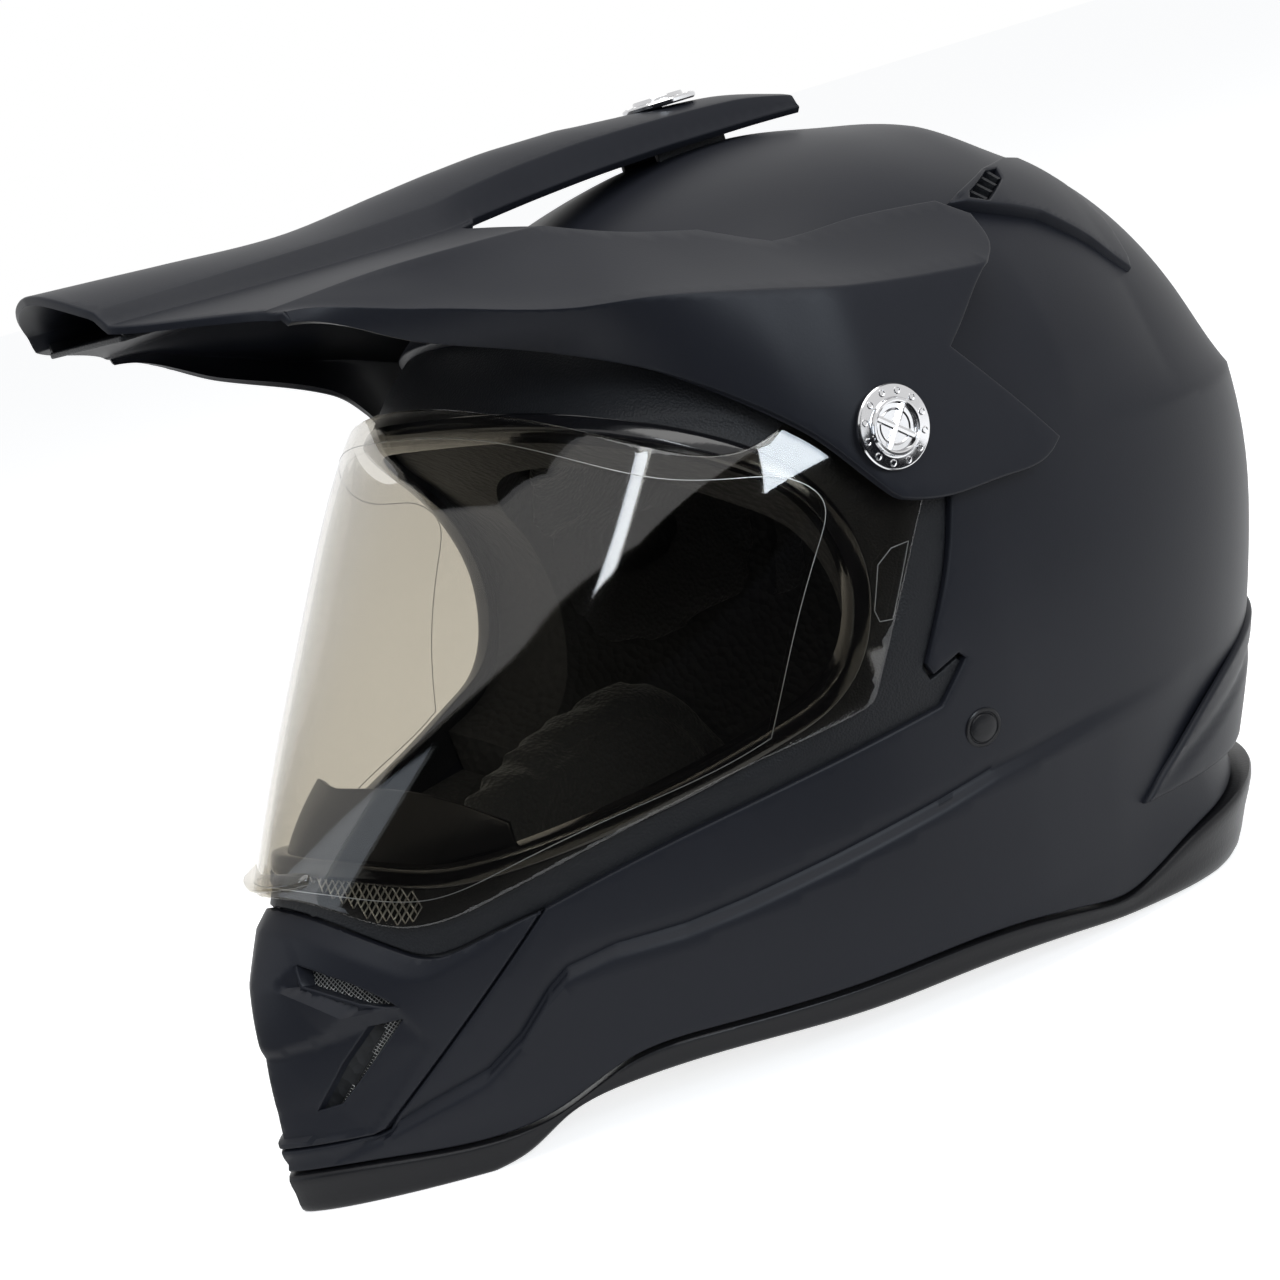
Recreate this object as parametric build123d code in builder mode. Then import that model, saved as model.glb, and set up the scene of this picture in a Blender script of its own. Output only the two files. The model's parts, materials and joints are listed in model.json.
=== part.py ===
from build123d import *
import os

os.makedirs("parts", exist_ok=True)

# Dual sport helmet, standing on its chin bar and the back of its neck roll.
# Millimetres. Forward is -Y, up is +Z, the wearer's left is +X.
# Shapes are drawn with the line of the two side screws along X at y = 0, and saved
# with the helmet moved forward by MIDDLE_BACK, over the middle of its footprint.

CROWN_HEIGHT = 264.0
FRONT_REACH = 187.0
BACK_REACH = 191.0
HALF_WIDTH = 127.0
PIVOT_HEIGHT = 178.0
MIDDLE_BACK = 2.2
SPAN = 160.0

SHELL_WALL = 4.0
FRAME_INSET = 3.0
FRAME_WALL = 2.4
LINER_INSET = 5.7
LINER_DEPTH = 31.0
CHIN_POCKET_INSET = 12.0
CHIN_LINER_DEPTH = 20.0
COMFORT_DEPTH = 8.0
CHEEK_DEPTH = 21.0
TRIM_PROUD = 1.2
TRIM_DEPTH = 12.0
GASKET_WIDTH = 4.5
GAP = 0.3
SEAM = 0.35
TOUCH = 0.05
NARROWEST = 1.8

VISOR_LIFT = 0.4
VISOR_WALL = 2.2
PEAK_WALL = 2.6

# Pivot hardware, measured outward from the middle plane.
HUB_ROOT = 110.0
HUB_NECK = 127.2
WING_FACE = 134.2
WING_SEAT = 3.4
SEAT_RIM = 1.0
SEAT_PLAY = 0.5
HUB_RADIUS = 9.0
NECK_RADIUS = 6.0
RUNNING = 0.05
SCREW_HEAD_RADIUS = 12.0
SCREW_RIM_RADIUS = 8.0
SCREW_HEAD = 1.8
SCREW_RIM = 1.4
SHANK_RADIUS = 3.0
SHANK_LENGTH = 14.0
CROSS_WIDTH = 2.0
CROSS_HEIGHT = 0.9
CROSS_LAP = 0.7

# The skin: one row for each level from the floor to the crown.
# height, front, back, half width and place of the widest point as shares of the
# main sizes, then how square the plan is in front, at the cheeks and behind.
LEVEL_SHARES = (
    (0.000, 0.990, 0.743, 0.772, 0.185, 1.60, 1.30, 2.60),
    (0.114, 1.000, 0.822, 0.835, 0.170, 1.60, 1.30, 2.70),
    (0.227, 0.973, 0.895, 0.890, 0.160, 1.60, 1.40, 2.70),
    (0.341, 0.898, 0.948, 0.945, 0.148, 1.65, 1.50, 2.70),
    (0.455, 0.791, 0.984, 0.984, 0.148, 1.80, 1.70, 2.70),
    (0.568, 0.668, 1.000, 1.000, 0.158, 1.90, 1.90, 2.60),
    (0.682, 0.551, 0.979, 0.992, 0.178, 2.00, 2.00, 2.45),
    (0.777, 0.449, 0.906, 0.913, 0.199, 2.05, 2.05, 2.30),
    (0.852, 0.342, 0.796, 0.795, 0.215, 2.10, 2.10, 2.20),
    (0.917, 0.214, 0.665, 0.638, 0.225, 2.10, 2.10, 2.10),
    (0.962, 0.070, 0.529, 0.441, 0.230, 2.10, 2.10, 2.10),
    (0.989, -0.070, 0.398, 0.244, 0.236, 2.10, 2.10, 2.10),
    (0.998, -0.160, 0.314, 0.110, 0.236, 2.10, 2.10, 2.10),
)
FRONT_STEP_SHARES = (1.0, 0.94, 0.82, 0.66, 0.46, 0.22)
BACK_STEP_SHARES = (0.0, 0.25, 0.50, 0.72, 0.88, 0.97, 1.0)

# Side-view outlines: (distance back of the pivot line, height) as shares of
# FRONT_REACH and CROWN_HEIGHT. Points past the skin only close the outline.
PORT_SHARES = (
    (-1.10, 0.80), (-0.39, 0.781), (-0.283, 0.727), (-0.203, 0.686), (-0.134, 0.644),
    (-0.091, 0.595), (-0.08, 0.542), (-0.091, 0.492), (-0.123, 0.443), (-0.166, 0.413),
    (-0.235, 0.398), (-0.36, 0.375), (-0.49, 0.36), (-0.64, 0.348), (-0.71, 0.35),
    (-0.77, 0.367), (-0.835, 0.386), (-1.10, 0.394),
)
FRAME_SHARES = (
    (-1.10, 0.348), (-0.898, 0.348), (-0.855, 0.318), (-0.80, 0.28), (-0.77, 0.265),
    (-0.695, 0.269), (-0.594, 0.284), (-0.49, 0.303), (-0.32, 0.326), (-0.18, 0.341),
    (0.01, 0.36), (0.059, 0.40), (0.053, 0.407), (0.005, 0.396), (-0.005, 0.409),
    (0.027, 0.455), (0.064, 0.508), (0.096, 0.572), (0.118, 0.629), (0.128, 0.682),
    (0.107, 0.742), (0.043, 0.78), (-0.064, 0.803), (-0.187, 0.833), (-0.294, 0.871),
    (-0.70, 0.95), (-1.10, 0.95),
)
VISOR_SHARES = (
    (-1.10, 0.36), (-0.888, 0.358), (-0.83, 0.322), (-0.786, 0.301), (-0.738, 0.297),
    (-0.497, 0.341), (-0.267, 0.375), (-0.107, 0.388), (-0.091, 0.405), (-0.048, 0.47),
    (0.005, 0.538), (0.043, 0.583), (0.075, 0.617), (0.10, 0.652), (0.104, 0.689),
    (0.08, 0.723), (0.037, 0.746), (-0.016, 0.75), (-0.064, 0.731), (-0.107, 0.708),
    (-0.219, 0.695), (-0.273, 0.72), (-0.364, 0.777), (-0.406, 0.811), (-0.422, 0.826),
    (-1.10, 0.84),
)
COVER_SHARES = (
    (-1.10, 0.348), (-0.898, 0.348), (-0.855, 0.318), (-0.80, 0.28), (-0.77, 0.265),
    (-0.695, 0.269), (-0.60, 0.283), (-0.872, 0.081), (-0.888, 0.077), (-1.10, 0.081),
)
UPPER_VENT_SHARES = ((-0.904, 0.288), (-0.92, 0.258), (-0.856, 0.218), (-0.813, 0.227))
LOWER_VENT_SHARES = (
    (-0.861, 0.199), (-0.818, 0.203), (-0.909, 0.131), (-0.925, 0.119), (-0.952, 0.127),
)
TOP_VENT_SHARES = (
    (0.38, 0.852), (0.39, 0.864), (0.476, 0.887), (0.572, 0.888), (0.631, 0.881),
    (0.72, 0.80), (0.70, 0.742), (0.684, 0.735), (0.594, 0.784), (0.503, 0.822),
    (0.422, 0.841),
)
TOP_SLOT_SHARES = ((0.50, 0.836), (0.52, 0.862), (0.60, 0.85), (0.60, 0.81))
REAR_PANEL_SHARES = (
    (0.38, 0.14), (0.588, 0.225), (0.80, 0.27), (1.10, 0.285), (1.10, 0.18),
    (0.80, 0.135), (0.658, 0.128),
)
SHELL_HEM_SHARES = (
    (-1.10, 0.050), (-0.658, 0.047), (-0.60, 0.07), (-0.535, 0.088), (-0.406, 0.088),
    (-0.17, 0.077), (0.005, 0.076), (0.107, 0.07), (0.32, 0.043), (0.535, 0.036),
    (0.668, 0.042), (0.80, 0.053), (1.10, 0.06),
)
TRIM_HEM_SHARES = (
    (1.10, 0.0), (0.535, 0.0), (0.45, 0.005), (0.32, 0.015), (0.187, 0.03),
    (0.005, 0.041), (-0.17, 0.043), (-0.406, 0.057), (-0.535, 0.058), (-0.63, 0.045),
    (-0.70, 0.011), (-0.75, 0.0), (-1.10, 0.0),
)
LINER_CUT_SHARES = ((-1.10, -0.05), (-0.28, -0.05), (-0.28, 0.42), (-1.10, 0.42))
LINER_HEM_SHARES = ((-1.10, -0.05), (-1.10, 0.108), (1.10, 0.108), (1.10, -0.05))
CHIN_LINER_SHARES = (
    (-1.02, 0.07), (-0.70, 0.075), (-0.60, 0.108), (-0.282, 0.108), (-0.282, 0.32),
    (-0.49, 0.32), (-0.64, 0.31), (-0.77, 0.31), (-0.88, 0.34), (-1.02, 0.34),
)
COMFORT_SHARES = (
    (-0.42, 0.83), (-0.30, 0.77), (-0.20, 0.73), (-0.10, 0.68), (-0.05, 0.62),
    (0.0, 0.48), (0.05, 0.41), (0.40, 0.38), (0.80, 0.30), (1.10, 0.30), (1.10, 1.10),
    (-0.42, 1.10),
)
CHEEK_SHARES = (
    (-0.47, 0.13), (-0.50, 0.24), (-0.45, 0.33), (-0.30, 0.372), (-0.12, 0.39),
    (0.03, 0.385), (0.12, 0.36), (0.22, 0.25), (0.21, 0.14), (0.15, 0.108),
    (-0.40, 0.108),
)
POCKET_SHARES = ((-1.10, -0.05), (-0.80, -0.05), (-0.76, 0.36), (-1.10, 0.36))
DEFLECTOR_SHARES = (
    (-0.60, 0.352), (-0.60, 0.378), (-0.668, 0.42), (-0.738, 0.446), (-0.80, 0.442),
    (-0.872, 0.417), (-0.93, 0.40), (-0.93, 0.352),
)
GRILLE_SHARES = (
    (-0.83, 0.374), (-0.832, 0.358), (-0.79, 0.312), (-0.757, 0.303), (-0.732, 0.315),
    (-0.749, 0.334), (-0.80, 0.366),
)
TAB_SHARES = ((-0.93, 0.366), (-0.925, 0.38), (-0.87, 0.386), (-0.80, 0.381), (-0.80, 0.362))
ANCHOR_SHARES = ((0.02, 0.084), (0.13, 0.084), (0.13, 0.34), (0.075, 0.352), (0.02, 0.34))
SHUTTER_SHARES = ((-1.02, 0.13), (-0.93, 0.13), (-0.86, 0.205), (-1.02, 0.205))
WING_SHARES = (
    (-1.10, 0.71), (-0.118, 0.715), (-0.102, 0.67), (-0.064, 0.622), (-0.016, 0.598),
    (0.07, 0.58), (0.176, 0.581), (0.278, 0.587), (0.288, 0.606), (0.144, 0.731),
    (0.182, 0.754), (0.257, 0.799), (0.31, 0.822), (0.337, 0.856), (0.305, 0.883),
    (0.321, 0.947), (0.55, 0.947), (0.55, 1.15), (-1.10, 1.15),
)

# The peak: one row for each station from its tip to the end of its centre arm.
# place back of the pivot line; height of the centre line; then the plateau edge,
# the foot of its wall, the valley's ridge, the side crease and the lower edge as
# (distance out, height), all as shares of the main sizes.
PEAK_SHARES = (
    (-0.97, 1.06, (0.244, 1.026), (0.252, 1.008), (0.52, 0.975), (0.559, 0.969), (0.567, 0.957)),
    (-0.80, 1.053, (0.232, 1.023), (0.256, 1.004), (0.52, 0.975), (0.559, 0.969), (0.567, 0.957)),
    (-0.73, 1.05, (0.228, 1.023), (0.26, 1.004), (0.52, 0.976), (0.559, 0.97), (0.567, 0.958)),
    (-0.535, 1.043, (0.213, 1.023), (0.256, 1.006), (0.52, 0.981), (0.638, 0.932), (0.591, 0.896)),
    (-0.332, 1.055, (0.189, 1.027), (0.252, 1.006), (0.488, 0.977), (0.756, 0.886), (0.65, 0.837)),
    (-0.24, 1.061, (0.173, 1.034), (0.197, 1.011), (0.48, 0.973), (0.835, 0.875), (0.77, 0.799)),
    (-0.107, 1.066, (0.157, 1.042), (0.173, 1.021), (0.472, 0.964), (0.945, 0.85), (0.984, 0.708)),
    (0.0, 1.066, (0.157, 1.045), (0.165, 1.03), (0.472, 0.962), (1.031, 0.828), (1.063, 0.617)),
    (0.043, 1.064, (0.157, 1.045), (0.165, 1.006), (0.488, 0.962), (1.035, 0.822), (1.063, 0.606)),
    (0.16, 1.059, (0.15, 1.044), (0.157, 1.008), (0.59, 0.962), (1.039, 0.809), (1.063, 0.595)),
    (0.30, 1.053, (0.138, 1.04), (0.146, 1.011), (0.669, 0.947), (1.039, 0.799), (1.063, 0.587)),
    (0.49, 1.023, (0.118, 1.017), (0.126, 1.005), (0.669, 0.947), (1.039, 0.799), (1.063, 0.587)),
)
# Plan-view outlines of the peak, (distance out, distance back) as shares of
# HALF_WIDTH and FRONT_REACH: the front corner cut away and the open notch.
TIP_SHARES = (
    (0.0, -0.95), (0.157, -0.936), (0.283, -0.893), (0.402, -0.802), (0.535, -0.738),
    (0.58, -0.717), (0.70, -0.717), (0.70, -1.10), (0.0, -1.10),
)
NOTCH_SHARES = (
    (0.244, -0.31), (0.472, -0.257), (0.622, -0.037), (0.748, 0.032), (0.819, 0.235),
    (0.835, 0.32), (0.882, 0.40), (0.882, 0.60), (0.126, 0.60), (0.126, 0.49),
    (0.146, 0.30), (0.157, 0.16), (0.165, 0.043), (0.165, 0.0), (0.173, -0.107),
    (0.197, -0.24),
)

# Peak bracket, duct panel, screws and small parts.
BRACKET_HALF = 12.0
BRACKET_PLATE = 2.4
BRACKET_TOP = 272.4
BRACKET_LEG = 20.0
BRACKET_FRONT = 27.0
BRACKET_BACK = 55.0
TOP_SCREW_BACK = 41.0
TOP_SCREW_HEAD_BASE = 279.2
TOP_SCREW_LENGTH = 13.0
TOP_SHANK_RADIUS = 2.5
TOP_SLOT_LENGTH = 12.0
NUT_RADIUS = 4.5
NUT_HEIGHT = 2.4
DUCT_HALF = 32.0
DUCT_TOP = 262.2
DUCT_PLATE = 2.0
DUCT_FRONT = -166.0
DUCT_BACK = -70.0
TAB_HALF = 21.0
CAP_RADIUS = 6.0
CAP_PROUD = 0.6
CAP_BACK = 14.0
CAP_HEIGHT = 84.0
CAP_ROOT = 112.4
VENT_MESH_WALL = 1.0
VENT_MESH_LAP = 2.0
SILL_GRILLE_WALL = 1.45
SCOOP_PROUD = 3.0
PANEL_PROUD = 2.0
ANCHOR_WALL = 1.3
CAP_PIN_RADIUS = 3.0
PAD_DRAW_IN = 7.0
GUARD_WALL = 2.0
SHUTTER_INSET = 5.9
SHUTTER_WALL = 1.3
STRAP_THICK = 2.0
STRAP_FRONT = 4.0
STRAP_BACK = 24.0
BUCKLE_HALF = 21.0
BUCKLE_LOW = 1.5
BUCKLE_HIGH = 10.5
BUCKLE_SIDE = 3.0
BUCKLE_ROUND = 2.0
LEVER_RADIUS = 4.0
LEVER_HEIGHT = 44.0
LEVER_LENGTH = 30.0
LEVER_BACK = -154.4
SHUTTER_TRAVEL = 8.0
# The straps' path across the helmet, (distance out, height) as shares.
STRAP_SHARES = ((0.80, 0.10), (0.69, 0.09), (0.60, 0.045), (0.42, 0.02), (0.06, 0.02))


def side(shares):
    """Side-view points in millimetres from shares of the reach and the height."""
    return [(back * FRONT_REACH, up * CROWN_HEIGHT) for back, up in shares]


def plan_points(row, inset):
    """Half of one level's outline, from the front point round to the back point."""
    height, front, back, half, wide, blunt, cheek, tail = row
    y_wide = wide * BACK_REACH
    y_front = inset - front * FRONT_REACH
    y_back = back * BACK_REACH - inset
    x_half = half * HALF_WIDTH - inset
    points = []
    for step in FRONT_STEP_SHARES:
        x = x_half * (1 - step**blunt) ** (1 / cheek)
        points.append((x, y_wide + (y_front - y_wide) * step))
    for step in BACK_STEP_SHARES[1:]:
        x = x_half * (1 - step**tail) ** (1 / tail)
        points.append((x, y_wide + (y_back - y_wide) * step))
    return points


def skin(inset):
    """The solid inside the helmet's outer surface drawn inward by the inset."""
    sections = []
    for row in LEVEL_SHARES:
        if row[3] * HALF_WIDTH - inset < NARROWEST:
            break
        height = row[0] * (CROWN_HEIGHT - inset)
        with BuildSketch(Plane.XY.offset(height)) as section:
            with BuildLine():
                Spline(*plan_points(row, inset))
                mirror(about=Plane.YZ)
            make_face()
        sections.append(section.sketch)
    with BuildPart() as block:
        loft(sections=sections, clean=False)
    return block.part


def layer(outer, depth):
    """The part of the helmet's wall between two insets."""
    with BuildPart() as wall:
        add(skin(outer), clean=False)
        add(skin(outer + depth), clean=False, mode=Mode.SUBTRACT)
    return wall.part


def moved_out(points, amount):
    """A closed outline with every edge moved outward by the amount."""
    area = sum(a[0] * b[1] - b[0] * a[1] for a, b in zip(points, points[1:] + points[:1]))
    amount = amount if area > 0 else -amount
    result = []
    for before, here, after in zip(points[-1:] + points[:-1], points, points[1:] + points[:1]):
        first = (Vector(*here) - Vector(*before)).normalized()
        second = (Vector(*after) - Vector(*here)).normalized()
        bisector = Vector(first.Y + second.Y, -first.X - second.X)
        shift = bisector * (amount / (1 + first.dot(second)))
        result.append((here[0] + shift.X, here[1] + shift.Y))
    return result


def side_block(points, near=-SPAN, far=SPAN, grow=0):
    """A prism across the helmet with the given side-view outline, grown if asked."""
    with BuildPart() as block:
        with BuildSketch(Plane.YZ.offset(near)) as outline:
            with BuildLine():
                Polyline(*moved_out(points, grow), close=True)
            make_face()
        extrude(to_extrude=outline.sketch, amount=far - near)
    return block.part


def plan_block(shares, low, high):
    """Two mirrored upright prisms with the given plan-view outline."""
    points = [(out * HALF_WIDTH, back * FRONT_REACH) for out, back in shares]
    with BuildPart() as block:
        with BuildSketch(Plane.XY.offset(low)) as outline:
            with BuildLine():
                Polyline(*points, close=True)
            make_face()
            mirror(about=Plane.YZ)
        extrude(to_extrude=outline.sketch, amount=high - low)
    return block.part


def rod(plane, radius, length):
    """A round bar standing on the given plane."""
    with BuildPart() as bar:
        with BuildSketch(plane) as circle:
            Circle(radius)
        extrude(to_extrude=circle.sketch, amount=length)
    return bar.part


def pivot_plane(hand, out):
    """A plane facing outward on the pivot line, on the left (1) or right (-1)."""
    return Plane(origin=(hand * out, 0, PIVOT_HEIGHT), x_dir=(0, 1, 0), z_dir=(hand, 0, 0))


def pivot_rod(hand, start, radius, end):
    return rod(pivot_plane(hand, start), radius, end - start)


def cap_rod(hand, radius):
    """A bar through the strap anchor, outward through the shell."""
    foot = Plane(origin=(hand * CAP_ROOT, CAP_BACK, CAP_HEIGHT), z_dir=(hand, 0, 0))
    return rod(foot, radius, SPAN - CAP_ROOT)


def save(part, name):
    """Label the piece, move it with the helmet over the middle of its footprint, export it."""
    moved = Pos(0, -MIDDLE_BACK, 0) * part
    moved.label = name
    export_step(moved, "parts/" + name + ".step")


HANDS = (("left", 1), ("right", -1))
top_screw_base = Plane(origin=(0, TOP_SCREW_BACK, TOP_SCREW_HEAD_BASE))
hem = side(SHELL_HEM_SHARES)
port = side_block(side(PORT_SHARES))
port_and_gasket = side_block(side(PORT_SHARES), grow=GASKET_WIDTH)
frame_block = side_block(side(FRAME_SHARES))
frame_block_less = side_block(side(FRAME_SHARES), grow=-SEAM)
cover_block = side_block(side(COVER_SHARES))
cover_block_less = side_block(side(COVER_SHARES), grow=-SEAM)
liner_hole = side_block(side(PORT_SHARES), grow=GASKET_WIDTH + GAP)
below_shell = side_block([(hem[0][0], -SPAN)] + hem + [(hem[-1][0], -SPAN)])
upper_vents = side_block(side(UPPER_VENT_SHARES))
lower_vents = side_block(side(LOWER_VENT_SHARES))
lever_slot = side_block(
    [
        (-FRONT_REACH, LEVER_HEIGHT - LEVER_RADIUS - 2 * GAP),
        (0, LEVER_HEIGHT - LEVER_RADIUS - 2 * GAP),
        (0, LEVER_HEIGHT + LEVER_RADIUS + SHUTTER_TRAVEL + 2 * GAP),
        (-FRONT_REACH, LEVER_HEIGHT + LEVER_RADIUS + SHUTTER_TRAVEL + 2 * GAP),
    ],
    near=-LEVER_RADIUS - 2 * GAP,
    far=LEVER_RADIUS + 2 * GAP,
)

# Outer shell, open below, at the eye port, at the chin cover and under the vents.
with BuildPart() as outer_shell:
    add(layer(0, SHELL_WALL))
    add(frame_block, clean=False, mode=Mode.SUBTRACT)
    add(cover_block, clean=False, mode=Mode.SUBTRACT)
    add(below_shell, clean=False, mode=Mode.SUBTRACT)
    add(side_block(side(TOP_SLOT_SHARES)), clean=False, mode=Mode.SUBTRACT)
    for name, hand in HANDS:
        add(cap_rod(hand, CAP_PIN_RADIUS + TOUCH), clean=False, mode=Mode.SUBTRACT)
save(outer_shell.part, "outer_shell")

# Rubber neck roll round the bottom edge, flat where the helmet stands on it.
with BuildPart() as neck_trim:
    add(layer(-TRIM_PROUD, TRIM_DEPTH + TRIM_PROUD))
    add(side_block([(y, z - SEAM) for y, z in hem] + side(TRIM_HEM_SHARES)),
        clean=False, mode=Mode.INTERSECT)
save(neck_trim.part, "neck_trim")

# Recessed frame round the eye port, with the stepped ends behind the visor.
with BuildPart() as eyeport_frame:
    add(layer(FRAME_INSET, FRAME_WALL))
    add(frame_block_less, clean=False, mode=Mode.INTERSECT)
    add(port_and_gasket, clean=False, mode=Mode.SUBTRACT)
    for name, hand in HANDS:
        add(pivot_rod(hand, HUB_ROOT, HUB_RADIUS + TOUCH, SPAN), clean=False, mode=Mode.SUBTRACT)
save(eyeport_frame.part, "eyeport_frame")

# Rubber gasket lining the eye port.
with BuildPart() as eyeport_gasket:
    add(layer(GAP, FRAME_INSET + FRAME_WALL - GAP))
    add(side_block(side(PORT_SHARES), grow=GASKET_WIDTH - TOUCH), clean=False, mode=Mode.INTERSECT)
    add(port, clean=False, mode=Mode.SUBTRACT)
save(eyeport_gasket.part, "eyeport_gasket")

# Chin cover carrying the mouth vents.
with BuildPart() as chin_cover:
    add(layer(0, SHELL_WALL))
    add(cover_block_less, clean=False, mode=Mode.INTERSECT)
    add(upper_vents, clean=False, mode=Mode.SUBTRACT)
    add(lower_vents, clean=False, mode=Mode.SUBTRACT)
save(chin_cover.part, "chin_cover")

# Mesh behind the vents: one piece across the upper one, one on each side below.
mesh_wall = layer(SHELL_WALL + TOUCH, VENT_MESH_WALL)
with BuildPart() as upper_vent_mesh:
    add(mesh_wall)
    add(side_block(side(UPPER_VENT_SHARES), grow=VENT_MESH_LAP), clean=False, mode=Mode.INTERSECT)
save(upper_vent_mesh.part, "upper_vent_mesh")
for name, hand in HANDS:
    near, far = sorted((0, hand * SPAN))
    lower_mesh_block = side_block(side(LOWER_VENT_SHARES), near, far, VENT_MESH_LAP)
    with BuildPart() as lower_vent_mesh:
        add(mesh_wall)
        add(lower_mesh_block, clean=False, mode=Mode.INTERSECT)
    save(lower_vent_mesh.part, "lower_vent_mesh_" + name)

# Impact liner of the crown and sides.
with BuildPart() as impact_liner:
    add(layer(LINER_INSET, LINER_DEPTH))
    add(liner_hole, clean=False, mode=Mode.SUBTRACT)
    add(side_block(side(LINER_CUT_SHARES)), clean=False, mode=Mode.SUBTRACT)
    add(side_block(side(LINER_HEM_SHARES)), clean=False, mode=Mode.SUBTRACT)
    for name, hand in HANDS:
        add(pivot_rod(hand, HUB_ROOT - GAP, HUB_RADIUS + GAP, SPAN),
            clean=False, mode=Mode.SUBTRACT)
save(impact_liner.part, "impact_liner")

# Impact liner of the chin bar, with a pocket and a slot for the vent shutter.
with BuildPart() as shutter_pocket:
    add(layer(0, CHIN_POCKET_INSET))
    add(side_block(side(POCKET_SHARES)), clean=False, mode=Mode.INTERSECT)
with BuildPart() as chin_liner:
    add(layer(LINER_INSET, CHIN_LINER_DEPTH))
    add(side_block(side(CHIN_LINER_SHARES)), clean=False, mode=Mode.INTERSECT)
    add(shutter_pocket.part, clean=False, mode=Mode.SUBTRACT)
    add(port_and_gasket, clean=False, mode=Mode.SUBTRACT)
    add(lever_slot, clean=False, mode=Mode.SUBTRACT)
save(chin_liner.part, "chin_liner")

# Padded crown lining.
with BuildPart() as comfort_liner:
    add(layer(LINER_INSET + LINER_DEPTH + GAP, COMFORT_DEPTH))
    add(side_block(side(COMFORT_SHARES)), clean=False, mode=Mode.INTERSECT)
save(comfort_liner.part, "comfort_liner")

# Cheek pads, their sides drawn in toward the face.
cheek_wall = layer(LINER_INSET + LINER_DEPTH + GAP, CHEEK_DEPTH)
for name, hand in HANDS:
    pad_sections = []
    for out, draw_in in ((0, PAD_DRAW_IN), (HALF_WIDTH, 0)):
        with BuildSketch(Plane.YZ.offset(hand * out)) as pad_section:
            with BuildLine():
                Polyline(*moved_out(side(CHEEK_SHARES), -draw_in), close=True)
            make_face()
        pad_sections.append(pad_section.sketch)
    with BuildPart() as pad_block:
        loft(sections=pad_sections, ruled=True)
    with BuildPart() as cheek_pad:
        add(cheek_wall)
        add(pad_block.part, clean=False, mode=Mode.INTERSECT)
    save(cheek_pad.part, "cheek_pad_" + name)

# Nose and breath guard standing inside the port.
with BuildPart() as breath_guard:
    add(layer(LINER_INSET, GUARD_WALL))
    add(side_block(side(DEFLECTOR_SHARES)), clean=False, mode=Mode.INTERSECT)
save(breath_guard.part, "breath_guard")

# Grilles on the sill, raised scoops on the crown, caps, anchors and straps.
sill_wall = layer(FRAME_INSET - TOUCH - SILL_GRILLE_WALL, SILL_GRILLE_WALL)
scoop_wall = layer(-SCOOP_PROUD, SCOOP_PROUD - TOUCH)
anchor_wall = layer(SHELL_WALL + TOUCH, ANCHOR_WALL)
for name, hand in HANDS:
    near, far = sorted((0, hand * SPAN))
    with BuildPart() as sill_grille:
        add(sill_wall)
        add(side_block(side(GRILLE_SHARES), near, far), clean=False, mode=Mode.INTERSECT)
        add(port_and_gasket, clean=False, mode=Mode.SUBTRACT)
    save(sill_grille.part, "sill_grille_" + name)
    with BuildPart() as top_vent:
        add(scoop_wall)
        add(side_block(side(TOP_VENT_SHARES), near, far), clean=False, mode=Mode.INTERSECT)
        add(side_block(side(TOP_SLOT_SHARES)), clean=False, mode=Mode.SUBTRACT)
    save(top_vent.part, "top_vent_" + name)
    with BuildPart() as strap_anchor:
        add(anchor_wall)
        add(side_block(side(ANCHOR_SHARES), near, far), clean=False, mode=Mode.INTERSECT)
        add(cap_rod(hand, CAP_PIN_RADIUS + TOUCH), clean=False, mode=Mode.SUBTRACT)
    save(strap_anchor.part, "strap_anchor_" + name)
    with BuildPart() as cap_head:
        add(cap_rod(hand, CAP_RADIUS))
        add(layer(-CAP_PROUD - TOUCH, CAP_PROUD), clean=False, mode=Mode.INTERSECT)
    with BuildPart() as anchor_cap:
        add(cap_rod(hand, CAP_PIN_RADIUS))
        add(skin(-CAP_PROUD), clean=False, mode=Mode.INTERSECT)
        add(cap_head.part)
    save(anchor_cap.part, "anchor_cap_" + name)

# Raised exhaust panel low on the back.
with BuildPart() as rear_panel:
    add(layer(-PANEL_PROUD, PANEL_PROUD - TOUCH))
    add(side_block(side(REAR_PANEL_SHARES)), clean=False, mode=Mode.INTERSECT)
save(rear_panel.part, "rear_panel")

# Chin strap webbing: two halves meeting in a buckle under the chin.
strap_line = [(out * HALF_WIDTH, up * CROWN_HEIGHT) for out, up in STRAP_SHARES]
for name, hand in HANDS:
    with BuildPart() as chin_strap:
        with BuildSketch(Plane.XZ.offset(-STRAP_FRONT)) as webbing:
            with BuildLine():
                Polyline(
                    *[(hand * x, z) for x, z in strap_line],
                    *[(hand * x, z + STRAP_THICK) for x, z in reversed(strap_line)],
                    close=True,
                )
            make_face()
        extrude(amount=STRAP_FRONT - STRAP_BACK)
        add(skin(SHELL_WALL + ANCHOR_WALL + 2 * TOUCH), clean=False, mode=Mode.INTERSECT)
    save(chin_strap.part, "chin_strap_" + name)

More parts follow.
